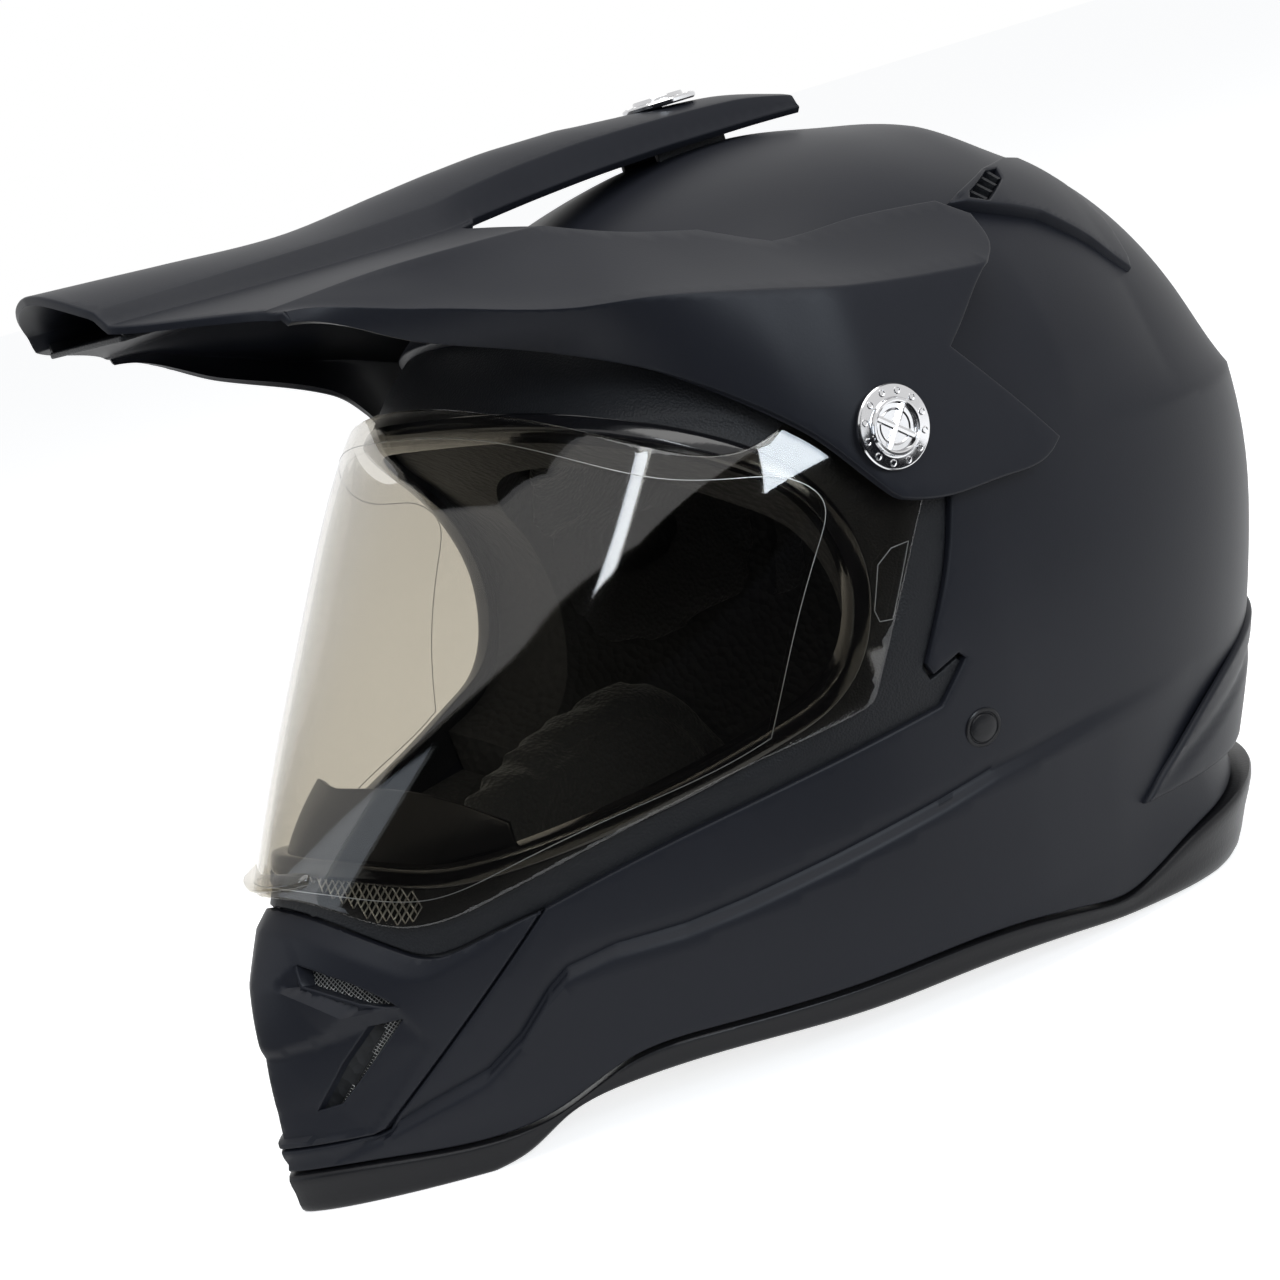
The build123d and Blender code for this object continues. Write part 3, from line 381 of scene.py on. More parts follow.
def panel_mesh(surface, to_flat, from_flat, loops, wall, step, rounding=0.8, gap=SEAM, folds=None,
               under=None, both_sides=True):
    """Points, faces and middle marks of a walled patch of the surface inside loops."""
    flat, triangles = filled([to_flat(loop) for loop in loops], step, folds)
    rim_count = sum(map(len, loops))
    spots = np.vstack(list(loops) + [from_flat(flat[rim_count:])])
    outer, normal = surface(spots), normal_of(surface, spots)
    a, b, c = (outer[triangles[:, k]] for k in range(3))
    facing = np.cross(b - a, c - a)
    if np.einsum("ij,ij->", facing, normal[triangles[:, 0]]) < 0:
        triangles = triangles[:, ::-1]
    middle = np.zeros(len(spots), bool)
    middle[:rim_count] = np.abs(outer[:rim_count, 0]) < 1e-3
    if not both_sides:
        middle[:] = False
    normal[middle, 0] = 0.0
    normal = unit(normal)
    inward = np.zeros_like(outer)
    rings, start = [], 0
    for loop in loops:
        ring = np.arange(start, start + len(loop))
        start += len(loop)
        p, n = outer[ring], normal[ring]
        edge = unit(np.roll(p, -1, axis=0) - p)
        side_way = unit(np.cross(n + np.roll(n, -1, axis=0), edge))
        held = middle[ring] & np.roll(middle[ring], -1)
        before, after = np.roll(side_way, 1, axis=0), side_way.copy()
        held_before = np.roll(held, 1)
        flip = np.array([-1.0, 1.0, 1.0])
        before[held_before] = (after * flip)[held_before]
        after[held] = (before * flip)[held]
        total = before + after
        size = np.maximum(np.einsum("ij,ij->i", total, total), 0.5)[:, None]
        mitre = 2 * total / size
        mitre[held & held_before] = 0
        inward[ring] = mitre
        rings.append((ring, ~held))
    toward = np.zeros(len(outer))
    centre = outer[triangles].mean(1)
    for k in range(3):
        at = triangles[:, k]
        np.add.at(toward, at, np.einsum("ij,ij->i", inward[at], centre - outer[at]))
    for ring, _ in rings:
        inward[ring] *= 1.0 if toward[ring].sum() > 0 else -1.0
    lower = under(spots) if under else outer - normal * wall
    turns = np.linspace(0, QUARTER, ROUND_STEPS + 1)
    rim = np.arange(rim_count)
    layers = [outer[rim] + inward[rim] * (gap + rounding * (1 - math.sin(t)))
              - normal[rim] * rounding * (1 - math.cos(t)) for t in turns]
    points = outer.copy()
    points[rim] = layers[0]
    lower[rim] = lower[rim] + inward[rim] * gap
    count = len(outer)
    stack = [rim] + [count + len(rim) * k + np.arange(len(rim)) for k in range(ROUND_STEPS)]
    low_start = count + len(rim) * ROUND_STEPS
    stack.append(low_start + rim)
    edges = triangles[:, [0, 1, 1, 2, 2, 0]].reshape(-1, 2)
    forward = set(map(tuple, edges[(edges < rim_count).all(1)].tolist()))
    quads = []
    for ring, live in rings:
        a, b = ring[live], np.roll(ring, -1)[live]
        same = np.array([pair in forward for pair in zip(a.tolist(), b.tolist())])
        a, b = np.where(same, a, b), np.where(same, b, a)
        for upper, next_row in zip(stack, stack[1:]):
            quads.append(np.stack([upper[b], upper[a], next_row[a], next_row[b]], 1))
    marks = np.concatenate([middle] + [middle[rim]] * ROUND_STEPS + [middle])
    faces = triangles.tolist() + (triangles + low_start)[:, ::-1].tolist() + np.vstack(quads).tolist()
    return np.vstack([points] + layers[1:] + [lower]), faces, marks


def skin_flat(middle_share):
    """The flat map of the skin: the way round from the given share, against the climb."""
    def to_flat(spots):
        climb = spots[:, 1]
        return np.stack([(spots[:, 0] - middle_share) * np.interp(climb, CLIMBS, half_round), climb * CROWN], -1)

    def from_flat(flat):
        climb = flat[:, 1] / CROWN
        return np.stack([flat[:, 0] / np.interp(climb, CLIMBS, half_round) + middle_share, climb], -1)

    return to_flat, from_flat


def facets(corners, triangles):
    """A relief of flat facets: the height out at a place (back, up) is read off the
    triangle that holds it, by its barycentric shares, and is nought outside them all."""
    corner = {name: np.array(values, float) for name, values in corners.items()}
    a, b, c = (np.array([corner[t[k]] for t in triangles]) for k in range(3))
    span = (b[:, 0] - a[:, 0]) * (c[:, 1] - a[:, 1]) - (b[:, 1] - a[:, 1]) * (c[:, 0] - a[:, 0])

    def relief(back, height):
        out = np.zeros(np.shape(back))
        for k in range(len(triangles)):
            s = ((back - a[k, 0]) * (c[k, 1] - a[k, 1]) - (height - a[k, 1]) * (c[k, 0] - a[k, 0])) / span[k]
            t = ((height - a[k, 1]) * (b[k, 0] - a[k, 0]) - (back - a[k, 0]) * (b[k, 1] - a[k, 1])) / span[k]
            held = (s >= -1e-9) & (t >= -1e-9) & (s + t <= 1 + 1e-9)
            out = np.where(held, a[k, 2] + s * (b[k, 2] - a[k, 2]) + t * (c[k, 2] - a[k, 2]), out)
        return out

    return relief


def fold_lines(lines, out=0.0, step=0.9):
    """Places along side-view lines, laid on the skin and given in the flat map."""
    rows = [drawn(np.asarray(line, float), range(1, len(line) - 1), step) for line in lines]
    spots, level = skin_spots(np.vstack(rows), out)
    return spots[level < 0.999]


def relieved(out, relief):
    """The skin at a distance out, with a relief of the side-view place added to it."""
    def surface(spots):
        point = skin(spots, out)
        return skin(spots, out + relief(point[..., 1], point[..., 2])) if relief else point
    return surface


def skin_panel(name, loops, out, wall, body, slot, material, step=3.0, rounding=0.8,
               gap=SEAM, middle_share=0.0, relief=None, folds=None, inner=None):
    """A walled patch of the skin, mirrored whole. The mesh has points along the folds, so that they stay sharp, and a
    plain inner face where inner says how far out it lies."""
    to_flat, from_flat = skin_flat(middle_share)
    points, faces, middle = panel_mesh(relieved(out, relief), to_flat, from_flat, loops, wall, step, rounding, gap,
                                       folds=None if folds is None else to_flat(folds),
                                       under=None if inner is None else lambda spots: skin(spots, inner))
    points, faces = mirrored(points, faces, middle)
    return piece(name, points, faces, body, slot, material)

# %% [markdown]
# ## Finishes
# The shell and the peak have a satin black lacquer: nearly black, with a broad soft sheen and a very fine orange
# peel. The frame is moulded plastic with a grain, the gasket is glossy rubber, and the roll under the shell and the
# breath guard are soft rubber.
# Each finish is one Principled shader, whose roughness and bump come from noise on
# object coordinates, so that the grain keeps its size on every piece. A finish is kept
# as a pair: the slot that it belongs to, and its material.

# %% Black finishes
def new_material(name):
    material = bpy.data.materials.new(name)
    material.use_nodes = True
    tree = material.node_tree
    tree.nodes.clear()
    return material, tree


def node(tree, kind, **settings):
    made = tree.nodes.new(kind)
    for key, value in settings.items():
        if key in made.inputs:
            made.inputs[key].default_value = value
        else:
            setattr(made, key, value)
    return made


def wired(tree, *links):
    """Links given as (node, output, node, input)."""
    for source, output, target, entry in links:
        tree.links.new(source.outputs[output], target.inputs[entry])


def spread_out(tree, low, high):
    """A Map Range node that spreads nought to one over low to high."""
    return node(tree, "ShaderNodeMapRange", **{"To Min": low, "To Max": high})


def grained(name, colour, roughness, spread, grain, height, pattern="ShaderNodeTexNoise",
            metallic=0.0, shine=0.5, blotch=60.0, tone=0.12, sheen=0.0):
    """A Principled finish: roughness and tone wander slowly by spread and tone, and a
    grain of the given frequency per metre stands up by height metres."""
    material, tree = new_material(name)
    out = node(tree, "ShaderNodeOutputMaterial")
    shader = node(tree, "ShaderNodeBsdfPrincipled", Metallic=metallic,
                  **{"Specular IOR Level": shine, "Sheen Weight": sheen})
    where = node(tree, "ShaderNodeTexCoord")
    slow = node(tree, "ShaderNodeTexNoise", Scale=blotch, Detail=4.0)
    rough = spread_out(tree, roughness - spread, roughness + spread)
    mix = node(tree, "ShaderNodeMix", data_type="RGBA")
    dark = [c * (1 - tone) for c in colour] + [1]
    light = [min(1, c * (1 + tone)) for c in colour] + [1]
    mix.inputs[6].default_value, mix.inputs[7].default_value = dark, light
    fine = node(tree, pattern, Scale=grain)
    bump = node(tree, "ShaderNodeBump", Strength=1.0, Distance=height)
    wired(tree, (where, "Object", slow, "Vector"), (where, "Object", fine, "Vector"), (slow, 0, rough, "Value"),
          (rough, 0, shader, "Roughness"), (slow, 0, mix, "Factor"), (mix, 2, shader, "Base Color"),
          (fine, 0, bump, "Height"), (bump, 0, shader, "Normal"), (shader, 0, out, "Surface"))
    return material


SHELL_BLACK = "shell_black", grained("satin_black", (0.0080, 0.0088, 0.0122), 0.44, 0.03, 1500, 0.00002, shine=0.16,
                                     blotch=25)
MOULDED_BLACK = "moulded_black", grained("moulded_black", (0.0085, 0.009, 0.0105), 0.48, 0.05, 1400, 0.00012,
                                         shine=0.2, pattern="ShaderNodeTexVoronoi")
GLOSS_BLACK = "gloss_black", grained("gloss_black", (0.006, 0.006, 0.007), 0.13, 0.03, 300, 0.00004)
SOFT_RUBBER = "soft_rubber", grained("soft_rubber", (0.0065, 0.0065, 0.0075), 0.34, 0.05, 1100, 0.00005, shine=0.2)
FOAM = "foam_liner", grained("black_foam", (0.02, 0.02, 0.021), 0.75, 0.05, 330, 0.0006,
                             pattern="ShaderNodeTexVoronoi")
SILVER = "silver_mesh", grained("silver_wire", (0.34, 0.34, 0.33), 0.38, 0.06, 2500, 0.00003, metallic=1.0)
CHROME = "chrome", grained("bright_plate", (0.60, 0.60, 0.61), 0.13, 0.03, 500, 0.00001, metallic=1.0)
STEEL = "steel", grained("zinc_steel", (0.50, 0.51, 0.53), 0.32, 0.06, 1800, 0.00003, metallic=1.0)
print("eight plain finishes")

# %% [markdown]
# ## The outer shell
# The shell is one lacquered moulding, cut away round the eye port, at the chin cover
# and along the neck. Its outlines are drawn in the side view, as the maker's drawing
# would be, in shares of the reach and of the crown's height, and laid on the skin.

# %% Outlines of the shell and its neighbours
HEM = [(-1.10, 0.050), (-0.90, 0.048), (-0.658, 0.047), (-0.60, 0.064), (-0.535, 0.084), (-0.406, 0.088),
       (-0.17, 0.077), (0.005, 0.076), (0.107, 0.07), (0.25, 0.049), (0.34, 0.041), (0.40, 0.052), (0.48, 0.072),
       (0.58, 0.084), (0.72, 0.094), (0.86, 0.10), (1.10, 0.104)]
FRAME_CHIN = [(-1.10, 0.348), (-0.98, 0.348), (-0.898, 0.343), (-0.855, 0.318), (-0.80, 0.28), (-0.77, 0.265),
              (-0.695, 0.269), (-0.60, 0.283)]
FRAME_SIDE = [(-0.60, 0.283), (-0.49, 0.303), (-0.32, 0.326), (-0.18, 0.341), (0.01, 0.36), (0.062, 0.402),
              (0.053, 0.409), (0.005, 0.396), (-0.004, 0.411), (0.027, 0.455), (0.064, 0.508), (0.096, 0.572),
              (0.118, 0.629), (0.128, 0.682), (0.107, 0.742), (0.043, 0.78), (-0.064, 0.803), (-0.187, 0.833),
              (-0.294, 0.871), (-0.70, 0.95), (-1.10, 0.95)]
COVER_SEAM = [(-0.60, 0.283), (-0.872, 0.081), (-0.888, 0.077), (-1.10, 0.081)]

hem_path = skin_path(HEM)
chin_path = skin_path(FRAME_CHIN)
side_path = skin_path(FRAME_SIDE, corners=(4, 5, 6, 7, 8))
seam_path = skin_path(COVER_SEAM, corners=(1, 2))
shell_loop = np.vstack([
    side_path, middle_line(0, side_path[-1, 1], QUARTER), middle_line(1, QUARTER, hem_path[-1, 1]), hem_path[::-1],
    middle_line(0, hem_path[0, 1], seam_path[-1, 1]), seam_path[::-1][:-1],
])
print("shell outline", len(shell_loop), "points")


# %% Creases pressed into the shell
LOW_CREASE = [(-176, 15), (-163, 21), (-151, 26), (-136, 31), (-126, 39), (-117, 50), (-111, 55), (-98, 57.5),
              (-79, 57), (-62, 58.5), (-35, 62), (-1, 67), (16, 70), (55, 72.5), (103, 73), (133, 68), (190, 60)]
REAR_CREASE = [(70, 156), (106, 153), (145, 151), (180, 150)]


def rear_fold(back, height):
    """Above the rear crease the back of the shell is flatter, and the crown behind the
    peak's arm is fuller."""
    above = height - np.interp(back, *np.transpose(REAR_CREASE))
    t = np.clip(above / 76, 0, 1)
    flat = -4.6 * t * (1 - t) ** 1.6 / 0.177 * np.clip((back - 70) / 50, 0, 1)
    crown = 2.0 * np.exp(-((back - 106) / 16) ** 2) * np.clip((height - 232) / 16, 0, 1)
    return flat + crown


def neck_flare(back):
    """How far the neck's edge turns out behind: nought at the side, one at the back."""
    t = np.clip((back - 62) / 55, 0, 1)
    return t * t * (3 - 2 * t)


def shell_relief(back, height):
    """The shell's own folds: a narrow groove along the low crease, and below it a flatter
    band that stands out and runs back in to the hem."""
    low = np.interp(back, *np.transpose(LOW_CREASE)) - height
    groove = -1.5 * np.exp(-((low + 0.5) / 1.6) ** 2) * np.clip((60 - back) / 60, 0, 1)
    stands = 2.2 * np.clip(low / 4, 0, 1) * np.clip((48 - low) / 44, 0, 1) * np.clip((100 - back) / 60, 0, 1)
    waist = -2.5 * np.clip((back - 60) / 60, 0, 1) * np.clip(low / 20, 0, 1) * np.clip((52 - low) / 18, 0, 1)
    flare = 6.0 * neck_flare(back) * np.clip((low - 36) / 22, 0, 1)
    return (groove + stands) * np.clip((height - 12) / 9, 0, 1) + waist + flare + rear_fold(back, height)


# %% [markdown]
# The lower cheek of the shell stands out below a long crease that runs from the chin to
# the back. It is a fold of the skin itself, so it is added to the surface function.

# %% The shell
BESIDE_CREASE = (2.6, 1.0, -0.5, -2.0, -4.2)
crease_rows = [[(back, height + beside) for back, height in LOW_CREASE] for beside in BESIDE_CREASE]
outer_shell = skin_panel("outer_shell", [shell_loop], 0.0, SHELL_WALL, "helmet", *SHELL_BLACK, step=3.2,
                         middle_share=0.5, relief=shell_relief, folds=fold_lines(crease_rows + [REAR_CREASE]))
print(len(outer_shell.data.polygons), "faces in the shell")

# %% [markdown]
# ## The chin cover
# A separate moulding closes the chin bar in front and carries the mouth vents: a short
# scoop above, whose floor slopes in below a silver mesh, and a long slot below it,
# with a raised blade between them. The slopes are folds of the skin, and the openings
# are more outlines for the same panel tool.

# %% The cover's folds and openings
UPPER_VENT = [(-169.3, 74.2), (-170.6, 68.7), (-160.6, 60.5), (-153.2, 58.0), (-160.6, 66.4)]
LOWER_VENT = [(-161.5, 53.0), (-154, 53.0), (-163.5, 42.5), (-173.0, 32.5), (-178.0, 31.8), (-170, 43.5)]
LOWER_NET = [(-158.5, 54.0), (-152.5, 54.0), (-162.5, 42.0), (-172.0, 31.5), (-175.5, 31.0), (-165.5, 43.5)]
BEVEL_LINE = [(-190, 96), (-168, 91), (-160, 83), (-150, 73), (-144, 70), (-130, 71), (-112, 75), (-80, 84)]
COVER_GAP, COVER_INSIDE = 0.4, -5.1
COVER_CORNERS = {
    "brow": (-168, 91, 0), "lip_left": (-169.6, 74.8, 0.4), "lip_right": (-152.2, 57.6, 0),
    "sill_left": (-176, 69.5, 1.0), "sill": (-165, 57.6, 0.9), "floor_left": (-170.7, 68.6, -3.0),
    "floor_right": (-160.6, 60.2, -3.0), "blade_left": (-182, 51.5, -1.6), "blade": (-171, 53.8, -1.2),
    "under_left": (-183, 48.8, -3.0), "under": (-171.5, 51.2, -3.0), "under_right": (-154.5, 54.6, -1.8),
    "foot_left": (-181.5, 31.5, -3.0), "foot": (-173.5, 30.5, -2.6), "hem_left": (-186, 23.5, -2.2),
    "hem": (-167, 21.5, -0.6), "seam": (-147.5, 44, 0), "nose": (-196, 84, 1.6), "nose_low": (-196, 62, 0.8),
    "front_blade": (-196, 52, -1.6), "front_under": (-196, 48.8, -3.0), "front_foot": (-196, 31.5, -3.0),
    "front_hem": (-196, 23.5, -2.2),
}
COVER_FACETS = [
    ("nose", "lip_left", "brow"), ("nose", "sill_left", "lip_left"), ("nose", "nose_low", "sill_left"),
    ("lip_left", "sill_left", "floor_left"), ("sill_left", "sill", "floor_right"),
    ("sill_left", "floor_right", "floor_left"), ("floor_right", "sill", "lip_right"), ("sill_left", "blade", "sill"),
    ("sill_left", "blade_left", "blade"), ("nose_low", "blade_left", "sill_left"),
    ("nose_low", "front_blade", "blade_left"), ("sill", "blade", "lip_right"), ("blade_left", "under", "blade"),
    ("blade_left", "under_left", "under"), ("front_blade", "under_left", "blade_left"),
    ("front_blade", "front_under", "under_left"), ("blade", "under_right", "lip_right"),
    ("blade", "under", "under_right"), ("under_left", "foot", "under"), ("under_left", "foot_left", "foot"),
    ("front_under", "foot_left", "under_left"), ("front_under", "front_foot", "foot_left"),
    ("under", "seam", "under_right"), ("under", "foot", "seam"), ("foot", "hem", "seam"),
    ("foot", "hem_left", "hem"), ("foot_left", "hem_left", "foot"), ("front_foot", "hem_left", "foot_left"),
    ("front_foot", "front_hem", "hem_left"), ("lip_right", "under_right", "seam"),
]
COVER_FOLDS = [
    ("nose", "sill_left", "lip_left"), ("sill_left", "sill", "lip_right"), ("nose_low", "sill_left", "blade"),
    ("blade_left", "blade", "lip_right"), ("under_left", "under", "under_right"), ("under_right", "seam"),
    ("under", "foot", "hem"), ("foot_left", "foot"), ("sill", "blade"), ("lip_left", "brow"), ("foot", "seam"),
]
cover_facets = facets(COVER_CORNERS, COVER_FACETS)


def cover_relief(back, height):
    """The skin runs in toward the upper edge, and below that it is a set of flat facets:
    the scoop's floor, the blade under it and the hollow that holds the long slot."""
    below = np.interp(back, *np.transpose(BEVEL_LINE)) - height
    width = np.clip((-118 - back) / 30, 0, 1)
    bevel = -2.2 * np.clip(1 - below / (1.5 + 6.0 * width), 0, 1) * width
    return bevel + cover_facets(back, height)


def closed_loop(points, out=0.0, corners=True, step=1.2):
    """A closed side-view outline in millimetres laid on the skin."""
    points = np.asarray(points, float)
    ring = np.vstack([points, points[:1]])
    side = drawn(ring, range(1, len(points)) if corners else (), step)[:-1]
    return skin_spots(side, out)[0]


cover_loop = np.vstack([chin_path, seam_path[1:], middle_line(0, seam_path[-1, 1], chin_path[0, 1], 1.6)])
chin_cover = skin_panel("chin_cover", [cover_loop, closed_loop(UPPER_VENT), closed_loop(LOWER_VENT)], 0.0,
                        None, "helmet", *SHELL_BLACK, step=1.5, rounding=0.7, gap=COVER_GAP, relief=cover_relief, inner=COVER_INSIDE,
                        folds=fold_lines([[COVER_CORNERS[name][:2] for name in line] for line in COVER_FOLDS]))
print(len(chin_cover.data.polygons), "faces in the chin cover")

# %% [markdown]
# ## Silver meshes
# The vents and the sill under the visor are closed with expanded silver mesh. A picture
# of a mesh would look flat in the openings, so the wires are real: a net of diamonds
# is laid on the skin behind each opening, and a Wireframe modifier gives each edge a
# square section.

# %% Nets of diamonds laid on the skin
def diamond_net(name, outline, out, pitch, wire, replaces=None, lean=1.0):
    """Crossing diagonals in the flat map, kept where a diamond's middle is inside the
    outline; lean stretches the diamonds upward."""
    to_flat, from_flat = skin_flat(0.0)
    ring = to_flat(outline)
    low, high = ring.min(0) - pitch, ring.max(0) + pitch
    i, j = np.meshgrid(np.arange(int((high[0] - low[0]) / pitch) + 2),
                       np.arange(int((high[1] - low[1]) / pitch / lean) * 2 + 4))
    flat = np.stack([low[0] + (i + 0.5 * (j % 2)) * pitch, low[1] + j * pitch * lean / 2], -1)
    rows, columns = i.shape
    r, c = np.meshgrid(np.arange(1, rows - 1), np.arange(1, columns - 1), indexing="ij")
    shift = r % 2
    index = lambda a, b: a * columns + b
    quads = np.stack([index(r - 1, c + shift), index(r, c + 1), index(r + 1, c + shift), index(r, c)],
                     -1).reshape(-1, 4)
    flat = flat.reshape(-1, 2)
    quads = quads[inside(flat[quads].mean(1), [ring])]
    used, quads = np.unique(quads, return_inverse=True)
    quads = quads.reshape(-1, 4)
    points = skin(from_flat(flat[used]), out)
    both, faces = mirrored(points, quads.tolist(), np.zeros(len(points), bool))
    net = piece(name, both, faces, "helmet", *SILVER, replaces)
    net.modifiers.new("wires", "WIREFRAME").thickness = wire * MM
    net.modifiers["wires"].use_even_offset = False
    return net


def grown(points, amount):
    """A closed outline swollen from its middle by about the amount."""
    points = np.asarray(points, float)
    middle = points.mean(0)
    away = points - middle
    return middle + away * (1 + amount / np.linalg.norm(away, axis=1).mean())


NET_OUT, NET_PITCH, NET_WIRE = -5.45, 1.5, 0.36
diamond_net("upper_vent_mesh", closed_loop(grown(UPPER_VENT, 2.0)), NET_OUT, NET_PITCH, NET_WIRE)
diamond_net("lower_vent_mesh", closed_loop(LOWER_NET), NET_OUT, NET_PITCH, NET_WIRE,
            ("lower_vent_mesh_left", "lower_vent_mesh_right"))

# %% [markdown]
# ## The eye port's frame
# Behind the visor the shell steps in by three millimetres to a moulded frame, which
# the visor's edges close against. It has the shell's outline outside and the eye
# port's inside.

# %% The frame round the eye port
PORT = [(-1.10, 0.80), (-0.55, 0.795), (-0.39, 0.778), (-0.283, 0.738), (-0.203, 0.697), (-0.134, 0.648),
        (-0.095, 0.595), (-0.08, 0.542), (-0.089, 0.492), (-0.118, 0.447), (-0.166, 0.416), (-0.235, 0.398),
        (-0.36, 0.375), (-0.49, 0.358), (-0.64, 0.347), (-0.71, 0.35), (-0.77, 0.366), (-0.835, 0.385),
        (-1.10, 0.394)]
port_path = skin_path(PORT, out=-FRAME_INSET)


def frame_relief(back, height):
    """Behind the port the frame has a shallow step that echoes the port's outline, and
    its rim toward the shell turns up again."""
    around = np.hypot((back + 62) / 1.12, (height - 146) / 0.92)
    step = 0.9 / (1 + np.exp(-(around - 56) / 0.6)) * np.clip((back + 75) / 20, 0, 1)
    return step


frame_loop = np.vstack([
    chin_path[:-1], side_path, middle_line(0, side_path[-1, 1], port_path[0, 1]), port_path,
    middle_line(0, port_path[-1, 1], chin_path[0, 1], 1.6)])
skin_panel("eyeport_frame", [frame_loop], -FRAME_INSET, FRAME_WALL, "helmet", *MOULDED_BLACK, step=2.2, rounding=0.6,
           gap=0.35, relief=frame_relief)

# %% [markdown]
# ## Rubber mouldings
# A rubber edge is one profile carried along a path. The gasket's path is the eye port's
# outline on the skin; at each point the profile stands in the plane of the skin's
# normal and the direction away from the opening.

# %% A profile carried round an outline on the skin
def carried(name, spots, profile, out, body, slot, material, replaces=None, closed=False):
    """Profile points (away, up) placed at each spot of the path: the spot on the skin,
    plus away times the direction beside the path, plus up times the skin's normal."""
    p, normal = skin(spots, out), normal_of(lambda near: skin(near, out), spots)
    if closed:
        along = np.roll(p, -1, axis=0) - np.roll(p, 1, axis=0)
    else:
        along = np.gradient(p, axis=0)
        for end in (0, -1):
            along[end] = (np.sign(along[end][0]) or 1.0, 0, 0)
            normal[end][0] = 0
    along, normal = unit(along), unit(normal)
    beside = unit(np.cross(along, normal))
    profile = np.asarray(profile, float)
    rings = (p[:, None] + beside[:, None] * profile[None, :, :1] + normal[:, None] * profile[None, :, 1:])
    points, faces = rings.reshape(-1, 3), ring_faces(len(p), len(profile), closed)
    test = points[faces[0]]
    outward = np.cross(test[1] - test[0], test[2] - test[0]) @ (test.mean(0) - rings[0].mean(0))
    if outward < 0:
        faces = faces[:, ::-1]
    middle = np.zeros(len(points), bool)
    if not closed:
        middle[:len(profile)] = middle[-len(profile):] = True
    points, faces = mirrored(points, faces.tolist(), middle)
    return piece(name, points, faces, body, slot, material, replaces)


def rounded_profile(corners, radius, steps=4):
    """A closed profile with its corners rounded: each corner gives way to points on a
    quadratic curve from one side to the next."""
    corners = np.asarray(corners, float)
    before, after = np.roll(corners, 1, axis=0) - corners, np.roll(corners, -1, axis=0) - corners
    radius = np.broadcast_to(np.asarray(radius, float), (len(corners),))
    a = corners + unit(before) * np.minimum(radius, np.linalg.norm(before, axis=1) * 0.45)[:, None]
    b = corners + unit(after) * np.minimum(radius, np.linalg.norm(after, axis=1) * 0.45)[:, None]
    t = np.linspace(0, 1, steps + 1)[None, :, None]
    curve = (1 - t) ** 2 * a[:, None] + 2 * t * (1 - t) * corners[:, None] + t**2 * b[:, None]
    return curve.reshape(-1, 2)


GASKET = rounded_profile([(1.8, -6.0), (1.6, -1.5), (0.6, 1.9), (-4.6, 1.4), (-5.6, -0.6), (-1.0, -0.8),
                          (-1.0, -6.0)],
                         [0.6, 0.8, 1.4, 2.0, 0.3, 0.2, 0.6])
gasket = carried("eyeport_gasket", port_path, GASKET, -FRAME_INSET, "helmet", *GLOSS_BLACK)
print("gasket", size_of(gasket))

# %% [markdown]
# ## The rubber roll at the neck
# The helmet stands on a soft rubber roll that closes the shell's lower edge all the way
# round. Its upper edge follows the shell's hem and its lower edge the floor line, both
# drawn in the side view, so each of its sections has a height of its own: the section
# is drawn in shares of that height and turned in at both ends.

# %% The neck roll
ROLL_FLOOR = [(-1.10, 0.0), (-0.75, 0.0), (-0.70, 0.011), (-0.63, 0.043), (-0.535, 0.057), (-0.406, 0.057),
              (-0.17, 0.043), (0.005, 0.041), (0.187, 0.03), (0.32, 0.015), (0.45, 0.005), (0.535, 0.0), (1.10, 0.0)]
ROLL_ROUND, ROLL_GAP, ROLL_FLARE, HEIGHT_ROUNDS = 221, 0.7, 6.5, 8
ROLL_SECTION = np.array([
    (1.0, -9.0), (1.0, -4.0), (1.0, -0.6), (0.985, 0.2), (0.95, 0.8), (0.88, 1.15), (0.75, 1.2), (0.55, 1.0),
    (0.40, 1.1), (0.25, 1.25), (0.12, 1.1), (0.04, 0.4), (0.0, -0.9), (0.0, -4.0), (0.0, -8.0), (0.03, -10.5),
    (0.12, -12.0), (0.5, -12.0), (0.88, -12.0), (0.97, -11.0),
])


def height_round(line, share):
    """The height of a side-view line at each share of the way round: the line is looked
    up at the skin's own place back, a few times over."""
    side = drawn(np.asarray(line, float) * (REACH, CROWN), (), 2.0)
    height = np.full_like(share, 8.0)
    for _ in range(HEIGHT_ROUNDS):
        climb = np.arcsin(np.clip(height / CROWN, 0, 1))
        back = skin(np.stack([share, climb], -1), 0.0)[:, 1]
        height = np.interp(back, side[:, 0], side[:, 1])
    return height


def roll_mesh():
    """Rows round the helmet times a section: (share of the height up, out)."""
    share = np.linspace(0, 1, ROLL_ROUND)
    top, floor = height_round(HEM, share) - ROLL_GAP, np.maximum(height_round(ROLL_FLOOR, share), 0.0)
    height = floor[:, None] + (top - floor)[:, None] * ROLL_SECTION[None, :, 0]
    climb = np.arcsin(np.clip(height / CROWN, 0, 1))
    rings = np.empty(height.shape + (3,))
    for k, (_, out) in enumerate(ROLL_SECTION):
        spots = np.stack([share, climb[:, k]], -1)
        rings[:, k] = skin(spots, out + ROLL_FLARE * neck_flare(skin(spots, out)[:, 1]))
        rings[:, k, 2] = height[:, k]
    around = len(ROLL_SECTION)
    faces = ring_faces(ROLL_ROUND, around)[:, [0, 3, 2, 1]]
    points = rings.reshape(-1, 3)
    middle = np.zeros(len(points), bool)
    middle[:around] = middle[-around:] = True
    return mirrored(points, faces.tolist(), middle)


